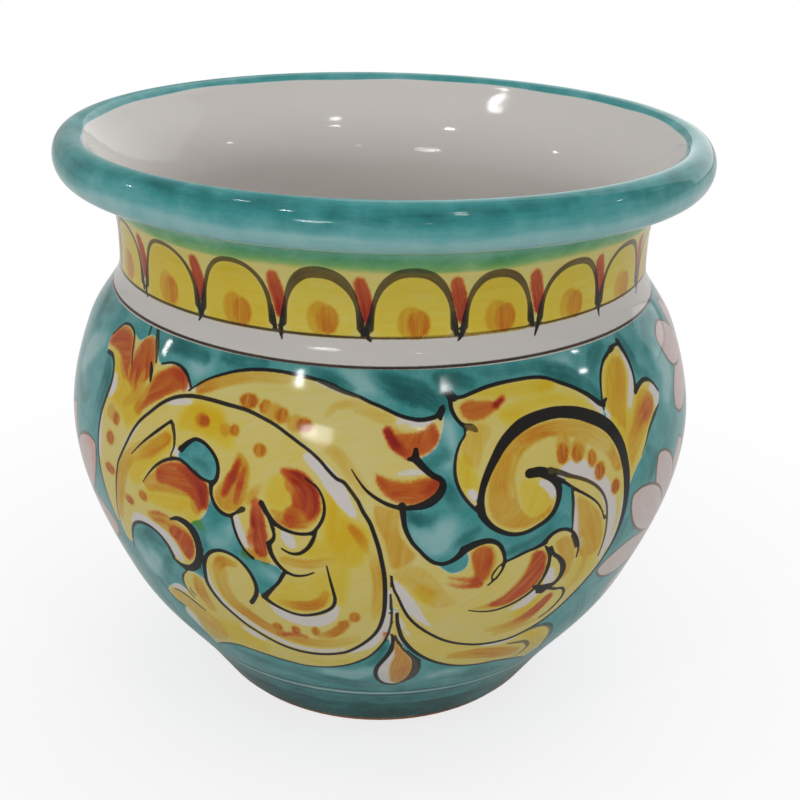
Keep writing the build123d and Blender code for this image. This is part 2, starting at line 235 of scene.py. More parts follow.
OCHRE_WASHES = (
    (0.62, 20, ((-127.5, 174), (-126.5, 178.3), (-120.5, 181), (-114.5, 179.8), (-110.3, 176),
        (-106, 170), (-107, 165), (-112, 167.5), (-116, 171.5), (-121.5, 172.6))),
    (0.62, -60, ((-106, 181), (-101.5, 182.7), (-97.3, 180.5), (-94.3, 176), (-93, 171),
        (-95.5, 166), (-100, 163), (-105, 166), (-107, 172), (-105, 177))),
    (0.62, 35, ((-91, 172.8), (-86, 175.5), (-80.5, 177.2), (-76, 175.8), (-73, 172.6),
        (-77, 169.3), (-84, 164.8), (-90, 160.5), (-95, 155.8), (-98, 158), (-95.5, 164),
        (-92.5, 169))),
    (0.3, 0, ((-8, 176.5), (0, 174.3), (6, 172), (7.5, 170), (4, 168.5), (-2, 170.5),
        (-8, 173))),
    (0.52, 82, ((0.5, 143), (4, 142), (8.5, 141), (8.8, 136), (9.5, 131.5), (12.2, 127.5),
        (14.5, 124), (11, 119), (7, 118), (4.8, 124), (2.8, 131), (0, 138))),
    (0.26, 60, ((7, 117), (14, 120), (19, 117), (26, 107), (30, 100), (22, 99), (14, 108))),
    (0.62, 75, ((-47, 155.5), (-50, 149), (-53, 144), (-55.5, 139), (-54, 135), (-50, 133.6),
        (-46.5, 134.8), (-44, 138), (-42.3, 145), (-43, 152))),
    (0.6, 70, ((-31.5, 152), (-26, 152.5), (-20.5, 149), (-17.5, 144.5), (-16.8, 139.5),
        (-18.5, 135), (-22, 132.3), (-27, 131.3), (-32, 134), (-35.5, 138.5), (-31, 138),
        (-28, 140), (-27, 144), (-28.5, 148.5))),
    (0.6, 15, ((-88, 133.5), (-84, 138.5), (-79, 143), (-73, 146), (-68, 146.3),
        (-63, 144), (-58, 142), (-57.8, 137), (-59.5, 132), (-62, 128.8), (-65, 130.5),
        (-65.5, 134), (-72, 134), (-80, 132.5), (-86, 131.5))),
    (0.55, -25, ((-88, 121), (-82, 124.5), (-76, 125), (-70, 123), (-66, 121), (-65, 116),
        (-66.5, 110.5), (-69.5, 107), (-72, 109), (-74, 113), (-77, 116.5), (-82, 118.5))),
    (0.55, 40, ((38, 142), (38.5, 148), (41, 153.5), (45, 159), (50, 162.5), (57, 164.7),
        (65, 164.8), (73, 164), (80, 161.5), (86, 158), (90.5, 153.5), (93.5, 147.5), (95.3, 140),
        (93, 140), (88, 147), (82, 153.5), (74, 158), (65, 159.5), (58, 158.5), (52, 155.5),
        (49, 150), (49, 144), (51, 137), (55, 133.5), (60, 135), (63, 138), (63, 134.5), (58, 131),
        (51, 129.6), (45, 131), (40.5, 134.5))),
    (0.48, -62, ((73.5, 137), (77, 135.3), (80.5, 132), (84.5, 127.8), (87.3, 122),
        (88.7, 116), (88.5, 110), (84, 108), (78, 111), (75.5, 119), (73.8, 127))),
    (0.48, -62, ((65.5, 121.5), (69, 122.5), (72.5, 121), (75, 117), (76.3, 111),
        (76, 103), (71.8, 99.5), (72.8, 105.5), (71, 110), (68, 114.5))),
    (0.3, 80, ((32, 165.5), (38, 168), (41, 166), (38, 160), (35, 153), (31, 155),
        (29.5, 160))),
    (0.74, 85, ((8.6, 83), (10.4, 80), (12.6, 75.5), (15.5, 70.5), (17.6, 64.5), (18.2, 58),
        (17, 52.5), (14.6, 48.3), (11, 46.8), (9, 48.2), (7.8, 53), (7.2, 60), (7.6, 66), (8.8, 71),
        (8.4, 77))),
    (0.4, 70, ((91.8, 164), (92, 168.5), (93.7, 172.5), (96.7, 176.3), (100.5, 178.7),
        (104.5, 179.8), (107.6, 178), (108.3, 175), (106.8, 171.5), (104.5, 166.5), (102, 160),
        (99.5, 153), (96, 158), (92.8, 160.5))),
    (0.42, 35, ((100, 150), (104, 155), (108, 161), (112, 164), (116, 164.6),
        (119.5, 162.5), (121.5, 159), (120.5, 155.3), (117, 152.2), (112.5, 149.5), (108.5, 146),
        (105, 142.5), (101.5, 139), (99.8, 144))),
    (0.36, 60, ((-91, 82.5), (-86, 85), (-79, 84), (-72, 80), (-66, 76), (-65, 66),
        (-70, 61.5), (-77, 59), (-81, 64), (-81, 74), (-88, 78.5))),
    (0.5, 10, ((29.5, 174), (33, 176.2), (38, 175.8), (43, 174.5), (44.5, 172.5),
        (41, 169.8), (37, 168.3), (32.5, 168.6), (30, 171))),
    (0.55, 85, ((33.3, 124), (37.5, 126.2), (41.5, 124), (43, 120), (42.6, 115.5),
        (41, 110.5), (37.5, 107.8), (33, 108.3), (34.5, 112), (34, 117), (33, 120.5))),
    (0.5, 0, ((3.5, 167.5), (6, 168.3), (10, 166.8), (15, 167.2), (21, 169), (22.3, 165),
        (20, 161), (15, 158.8), (10.5, 158.3), (7, 161.5), (4.5, 164.5))),
    (0.55, 0, ((0.3, 153.3), (5, 151.8), (11, 151), (17, 152), (21.5, 151.3), (22.8, 149),
        (20.5, 145.8), (16, 143.3), (11, 142.7), (6.5, 144.3), (2, 148))),
    (0.5, 55, ((36, 96.5), (40, 97.5), (45, 99.5), (50, 104), (53, 108.5), (55, 114),
        (56, 119), (60, 119.7), (62.7, 117), (63.8, 112), (63.6, 107), (61.7, 102.5), (58.7, 99),
        (54, 96), (49, 94.5), (43, 94.6))),
)
RED_WASHES = (
    (0.5, 15, ((-129, 173), (-129.4, 176.5), (-126.6, 180.4), (-121, 182.2), (-114, 181),
        (-108.6, 177.5), (-106.6, 171), (-109, 168), (-113, 171), (-118, 173), (-123, 173))),
    (0.42, -60, ((-106.8, 179), (-104.5, 182.4), (-101, 184), (-97, 182), (-93.4, 177),
        (-92.4, 171.5), (-95, 168), (-97, 172), (-99.5, 167), (-102, 170), (-104, 166.5),
        (-106.5, 172))),
    (0.43, 35, ((-90, 171.5), (-86, 175.8), (-81.5, 178), (-76.6, 177), (-72.4, 173),
        (-76, 169.8), (-83, 166), (-89, 161.5), (-95, 157.5), (-92, 164))),
    (0.55, 10, ((-81, 141.8), (-75, 145.6), (-70, 146.6), (-65, 144.8), (-60.5, 143),
        (-57.8, 141), (-57.8, 136), (-59.5, 132.5), (-61.5, 130.3), (-63.5, 133.8), (-67, 136),
        (-74, 136.6), (-81, 136.8))),
    (0.6, 60, ((-75, 121.5), (-69.5, 121.3), (-65.8, 119), (-65.3, 115), (-67, 110),
        (-69.8, 107.5), (-71.5, 110), (-73.5, 114), (-77, 118))),
    (0.5, 70, ((6, 165.5), (10, 166), (15, 166.3), (20, 168.6), (22.6, 165.6), (21, 161.4),
        (16, 158.2), (11, 158), (7.6, 161))),
    (0.5, 0, ((0.5, 152.8), (5, 151), (11, 150), (17, 151.3), (21.4, 151.2), (22.8, 149),
        (20.6, 145.3), (16, 142.9), (11, 142.2), (6, 143.8), (2, 147.6))),
    (0.42, 10, ((30, 174), (33, 175.6), (38, 175.2), (42.5, 174.2), (43.5, 172.5),
        (40.5, 170.2), (37, 169), (33, 169), (30.7, 171))),
    (0.45, 85, ((33.5, 123.5), (37.5, 125.8), (40.8, 123.6), (41.8, 120), (41.3, 115.5),
        (40, 111), (37.2, 108.3), (33.8, 108.8), (35.2, 112), (34.3, 117), (33.4, 120.5))),
    (0.62, 55, ((42, 97.5), (46, 99.2), (50.5, 103.2), (54, 108), (56, 114), (57, 119),
        (60, 119.3), (62.4, 116.8), (63.4, 112), (63.2, 107), (61.3, 102.7), (58.2, 99.4),
        (54, 96.8), (49, 95.3), (44, 95.8))),
    (0.22, 35, ((112, 157), (116, 161.5), (119.5, 160), (120.6, 156), (117, 152.8), (113, 151.5))),
)

# Strokes that the yellow leaves bare: (widths, path)

LIGHTS = (
    ((1, 2, 1.2), ((-101, 141), (-97, 147.7), (-92.5, 154))),
    ((1, 2.4, 2.4, 1), ((-80, 164.6), (-76, 166), (-72, 167), (-68, 168))),
    ((2.5, 5, 6, 5, 2.5), ((-23, 157), (-16.5, 152.5), (-12.5, 147.5), (-9.2, 142.5), (-6.5, 139))),
    ((1.5, 2, 2, 2.4, 2.4, 2.2, 2, 1.6), ((-62.3, 106), (-62.2, 99), (-60.5, 93.5), (-57.5, 88.8),
        (-52, 83.8), (-46, 79.5), (-40, 76.3), (-33, 73.3), (-25, 72), (-17, 72.8), (-11, 74.8))),
    ((1.5, 5, 6, 6, 4.5, 2), ((-38, 95.5), (-33, 91.7), (-26, 90), (-19, 91), (-14.7, 94.5),
        (-12.5, 99.5))),
    ((2, 4, 4.5, 4, 5.5, 6, 3), ((-98.5, 113.8), (-94, 117), (-90, 117.8), (-86, 117.2),
        (-80, 115.3), (-76.5, 111), (-74, 106.5))),
    ((2.5, 3), ((-73.5, 150), (-71, 148.6))),
    ((2, 3.2, 2), ((-46.7, 132.5), (-45.6, 127.5), (-42.5, 121.5))),
    ((3, 4.5, 3), ((-29.5, 129.5), (-28, 127.5), (-27, 125.5))),
    ((2, 4.5, 4, 3.2, 2.5), ((-8, 73.5), (-1, 78.5), (3.2, 86.5), (5.6, 96), (5.6, 108))),
    ((1.5, 4, 5, 4.5, 3, 1.2), ((7.6, 113), (10.5, 107), (13, 102), (15.6, 97.5), (18.4, 93),
        (21.5, 89.5))),
    ((1.2, 1.8, 1), ((10.6, 94), (11.8, 89), (14, 84.5))),
    ((2.5, 3), ((32.5, 145.5), (34.6, 143))),
    ((1.5, 2.2, 2), ((7.5, 170), (13, 169), (19.5, 169.6))),
    ((1.2, 2, 1.2), ((8, 153), (12.5, 153.4), (17, 153.2))),
    ((3, 6, 6, 5, 6, 5.5, 4.5, 4, 2), ((66, 146.3), (71, 147.5), (77, 145.5), (82, 141.7),
        (86.7, 136), (89.8, 129), (91.7, 121), (92.2, 113), (92, 104))),
    ((2.5, 3.8, 2.5), ((58.7, 145), (61.8, 142.7), (63, 139.7))),
    ((1.2, 3, 2.6), ((83.5, 168.6), (88, 164.7), (91.6, 160.6))),
    ((1.2, 2.4, 2.6, 2.4, 1.2), ((73.2, 136.5), (72.9, 131), (73.7, 126.5), (76, 120.5),
        (78.5, 114.5))),
    ((2, 4.5, 4), ((54, 92), (59, 94.2), (62.7, 98.2))),
    ((3, 5), ((66.3, 108), (67, 103.3))),
    ((1, 1.8, 1), ((46, 71.9), (54, 71), (62, 71.6))),
    ((2, 3.2, 2), ((5.2, 62), (4.7, 56.5), (6, 51))),
    ((1.5, 2.4, 2.8, 3.4, 2), ((109.7, 181), (110, 176.5), (109.6, 171.5), (107.5, 166.5),
        (104.5, 161))),
    ((4, 5.5, 3), ((122, 162.3), (124.7, 159.5), (123.3, 156))),
    ((2, 4, 2.5), ((-114, 165.3), (-113.2, 161), (-114.5, 157.5))),
    ((1, 1.8), ((-77, 175.4), (-72.5, 171.2))),
    ((1, 1.8, 1), ((-71, 171.3), (-68.5, 172.6), (-66, 173.8))),
    ((1, 1.8, 1), ((-22, 181.6), (-16, 180.2), (-10, 178))),
    ((1.5, 3.4, 1.5), ((-54, 77.5), (-50.5, 75.5), (-45, 72.8))),
    ((3, 4.5, 2), ((-87, 87.3), (-82.5, 88.6), (-78.5, 87.6))),
    ((4, 6, 4), ((-84.5, 73), (-83.5, 69.5), (-82, 65))),
    ((1.5, 2.4, 2), ((97, 130), (96.8, 119), (94.8, 108))),
    ((1.5, 3, 2), ((-118, 149), (-117.8, 141), (-117, 133))),
)

# Brush strokes in the order that they are laid in: (pigment, loads, widths, path)

STROKES = (
    ("yellow", (0.6, 0.7, 0.4), (3, 4.5, 3), ((-67, 129), (-64, 127.5), (-61, 125))),
    ("red", (0.7, 0.5), (1.5, 1.8, 0.8), ((-104.2, 172.5), (-103.8, 169), (-102.8, 165.5))),
    ("red", (0.7, 0.5), (1.5, 1.8, 0.8), ((-101.2, 171.5), (-100.4, 168), (-99.2, 164.5))),
    ("red", (0.6, 0.4), (1.2, 1.6, 0.8), ((-108.5, 171), (-107, 168), (-104.8, 165.5))),
    ("ochre", (0.4, 0.55, 0.5, 0.2), (3, 6, 6, 3), ((-107, 112), (-104.3, 120), (-102.2, 128),
        (-99, 136), (-94, 143), (-88, 148.5))),
    ("ochre", (0.3, 0.6, 0.7), (4, 6, 5), ((-92, 142.5), (-84, 147.7), (-78, 152.7))),
    ("ochre", (0.8, 0.55, 0.4, 0.3), (5, 4.5, 4, 3.5), ((-67, 173), (-60, 176.3), (-52, 179.2),
        (-42, 181), (-34, 181.3))),
    ("ochre", (0.25, 0.4, 0.3), (2, 3, 2), ((-17, 171), (-14, 174), (-8, 175), (-3, 174.5))),
    ("ochre", (0.2, 0.36, 0.3, 0.2), (2, 4.5, 4.5, 3), ((-20, 162), (-13, 159), (-7.5, 152.7),
        (-3, 147))),
    ("ochre", (0.2, 0.5, 0.5, 0.4, 0.2), (3, 4, 4, 4, 3), ((0, 124), (1.8, 115), (2, 105), (1.2, 95))),
    ("ochre", (0.62, 0.5, 0.3), (3, 3.8, 2), ((-7, 134.2), (-4.2, 130.7), (-1.5, 125))),
    ("ochre", (0.4, 0.85, 0.9, 0.8), (2.5, 4.5, 4.5, 3), ((-20, 81.5), (-15.5, 83.8), (-11.5, 88),
        (-9.5, 91.5))),
    ("ochre", (0.35, 0.5, 0.7, 0.6, 0.55, 0.4, 0.2), (6, 6, 6, 5.5, 5, 5, 4), ((-56, 108),
        (-56.5, 100), (-54, 92.5), (-48, 86.7), (-41, 81.7), (-33, 78.3), (-24, 77), (-14, 78.3),
        (-6, 82))),
    ("ochre", (0.4, 0.75, 0.5), (4, 5, 3), ((-57.5, 108), (-54, 112.6), (-49.5, 112.6))),
    ("ochre", (0.3, 0.75, 0.75, 0.4), (3, 5, 5, 3), ((-33, 98.5), (-26, 98), (-19, 100.5), (-16, 106))),
    ("ochre", (0.4, 0.55, 0.3), (3.5, 4, 3), ((-30, 119), (-22, 118.5), (-14, 121))),
    ("ochre", (0.4, 0.6, 0.3), (2, 3.5, 2), ((-42.5, 138.5), (-40.5, 142.5), (-38.5, 145))),
    ("ochre", (0.5, 0.6, 0.5), (4, 5, 3), ((-44, 118.6), (-39.5, 119.5), (-36.5, 116.8))),
    ("ochre", (0.7, 0.75, 0.5, 0.45, 0.25), (4, 5, 6, 7, 6), ((52, 161), (60, 162.3), (70, 161.5),
        (80, 158), (88, 151.5))),
    ("ochre", (0.6, 0.75, 0.5), (4, 5, 4), ((43, 152), (42.3, 146), (44, 139.5))),
    ("ochre", (0.3, 0.45, 0.3), (1.4, 1.8, 1.4), ((49, 155.5), (47, 149), (47.3, 142))),
    ("ochre", (0.25, 0.55, 0.85, 0.95), (3, 5, 7, 5), ((46, 81.7), (56, 82), (64, 85.7), (69.6, 92.5))),
    ("ochre", (0.3, 0.45, 0.25), (2.5, 2.8, 2), ((50, 78.3), (62, 79.3), (72, 81.3))),
    ("ochre", (0.4, 0.7, 0.7, 0.55), (4, 7, 8, 6), ((33, 68.3), (45, 66.7), (57, 63.2), (66, 60))),
    ("ochre", (0.4, 0.62, 0.5), (4, 6, 4), ((97.5, 158), (101, 169), (106, 177))),
    ("ochre", (0.5, 0.8, 0.8), (4, 7, 7), ((105, 151.5), (111.5, 156), (118, 158.5))),
    ("ochre", (0.5, 0.7, 0.4), (5, 6.5, 5), ((-68.5, 98), (-69, 91), (-67, 84))),
    ("ochre", (0.3, 0.5, 0.4), (3, 4, 3), ((-104, 158), (-99, 162), (-95, 166))),
    ("ochre", (0.7, 0.5), (2.2, 1.6), ((1.5, 150.5), (4.7, 146.6))),
    ("ochre", (0.5, 0.6, 0.3), (3, 5, 3), ((-77, 73), (-72, 70), (-66, 71))),
    ("ochre", (0.3, 0.4, 0.2), (3, 4, 3), ((12, 114), (20, 108), (29, 101))),
    ("ochre", (0.3, 0.4, 0.3, 0.2), (2, 3, 3, 2), ((78, 118), (82, 110), (82, 100), (78, 92))),
    ("red", (0.6, 0.85, 0.92, 0.75), (2.4, 4.4, 5, 3.4), ((-70.5, 145), (-64.5, 143),
        (-60.2, 139.5), (-59.2, 134))),
    ("red", (0.6, 0.78, 0.6), (3, 4.6, 3.4), ((-82, 175.6), (-77.5, 175), (-74.8, 171.8))),
    ("red", (0.4, 0.5, 0.2), (1, 1.6, 0.8), ((-86, 122.3), (-81, 124), (-75.5, 124))),
    ("red", (0.3, 0.5, 0.3), (1, 1.6, 0.8), ((-84, 120.3), (-79, 121.4), (-75, 121))),
    ("red", (0.5, 0.8, 0.6), (2, 3.5, 2.5), ((-46.8, 152), (-49, 146), (-51.7, 140))),
    ("red", (0.4, 0.7, 0.4), (1.5, 2.5, 1.8), ((-44.5, 150), (-46, 143), (-47, 138))),
    ("red", (0.55, 0.85, 0.9, 0.75), (3.2, 5.4, 6, 4.6), ((-39.6, 139.3), (-39, 133), (-38.6, 127),
        (-38.2, 121))),
    ("red", (0.5, 0.6, 0.4), (1.5, 2, 1.2), ((-41.3, 129), (-42.2, 125.5), (-42, 122.5))),
    ("red", (0.35, 0.6, 0.62, 0.5), (4, 6, 7, 6), ((-28, 147.5), (-24.5, 144), (-23.6, 139), (-27, 135))),
    ("red", (0.6, 0.95, 0.95, 0.75, 0.4), (2.5, 5.4, 6.4, 5.8, 3), ((-30.5, 151.2), (-24.5, 149),
        (-20.9, 144), (-20.9, 138.5), (-24, 135.3))),
    ("red", (0.3, 0.35, 0.2), (2, 2.6, 2), ((-28, 138.5), (-24.5, 137.8), (-23, 136))),
    ("red", (0.3, 0.45, 0.3), (1.2, 1.4, 1), ((-33, 134.4), (-28, 132.8), (-22, 133.2))),
    ("red", (0.95, 0.95, 0.7), (3, 3.4, 2.4), ((4.3, 166.8), (6.7, 162.5), (11, 158.7))),
    ("red", (0.6, 0.7, 0.5), (2, 2.6, 1.8), ((20, 168), (20.8, 164.3), (17.5, 160.7))),
    ("red", (0.8, 0.8, 0.5), (2.6, 3.4, 2.6), ((21, 150.4), (19, 147.6), (14.5, 146.4))),
    ("red", (0.9, 0.95), (1.8, 2.6), ((46.8, 175.2), (43.6, 173.2))),
    ("red", (0.65, 0.55, 0.3), (3, 2, 0.8), ((37.5, 108.6), (31, 108.9), (25.5, 110.8))),
    ("red", (0.55, 0.45, 0.3), (3, 2, 0.8), ((36.5, 111), (31, 112), (26, 113.6))),
    ("red", (0.6, 0.7, 0.5), (1.6, 2.4, 1.6), ((39.6, 124), (39.8, 119), (38.3, 113))),
    ("red", (0.2, 0.45, 0.4), (2, 4, 3.4), ((58, 83.3), (66, 87.4), (70.3, 93.5))),
    ("red", (0.1, 0.16, 0.1), (1.5, 2, 1.5), ((14.3, 62), (14.6, 56), (13, 50))),
    ("yellow", (0.3, 0.55, 0.6), (1.6, 2, 2), ((7.8, 97), (8.2, 90), (9, 85))),
    ("ochre", (0.4, 0.7, 0.6), (1.8, 2.2, 2), ((7.6, 86), (9.2, 81.5), (11, 77))),
    ("red", (0.6, 0.5), (1.4, 1), ((4.8, 86), (5.6, 81))),
    ("red", (0.4, 0.5, 0.4), (2, 2.6, 2), ((-35, 79.3), (-30, 81), (-26, 80.2))),
)

# Touches of a loaded brush: (u, s, half width, half height, halo shift in u, halo shift in s)
DOTS = (
    (-107.2, 151, 2.7, 2.6, -4.2, 1.2), (-109.5, 143, 3.2, 2.7, 0, 0), (-109, 131.3, 4, 2.2, 0, 0),
    (-62.7, 162.6, 2.7, 2.3, -1, 0), (-50, 161.9, 2, 2.1, -3.6, -0.5), (-39.6, 157, 2.6, 2.4, 0, 0),
    (-46.3, 172.3, 3.9, 2.8, 0, 0), (-39.5, 171.3, 2.6, 2.6, 0, 0), (-33, 169.3, 2.8, 2.8, -3, 0.8),
    (-24.5, 167, 3.2, 2.6, -3, 0.4),
    (-97, 123.3, 2.9, 2, 0, 0), (-88.3, 128.3, 2.6, 2.2, 0, 0), (-37, 83.6, 2.2, 2.4, 0, 0),
    (-36.3, 79, 2.2, 1.6, 0, 0), (-29.6, 83.6, 2, 2.4, 0, 0), (-21.6, 84.3, 1.8, 2.9, 0, 0),
    (-6.3, 94.6, 2.1, 3, 0, 0), (-10.4, 90, 2.4, 2.4, 0, 0), (67.8, 153, 2.7, 3.8, 0.8, 3),
    (74.2, 152, 2.9, 3.4, 0.8, 1.6), (80.6, 148.6, 2.3, 3.3, 0, 0), (84, 143.2, 2.8, 3.5, 0, 0),
    (92, 135, 2.5, 3.1, 0, 0),
)

# Drawn outlines: (load, widths, path)

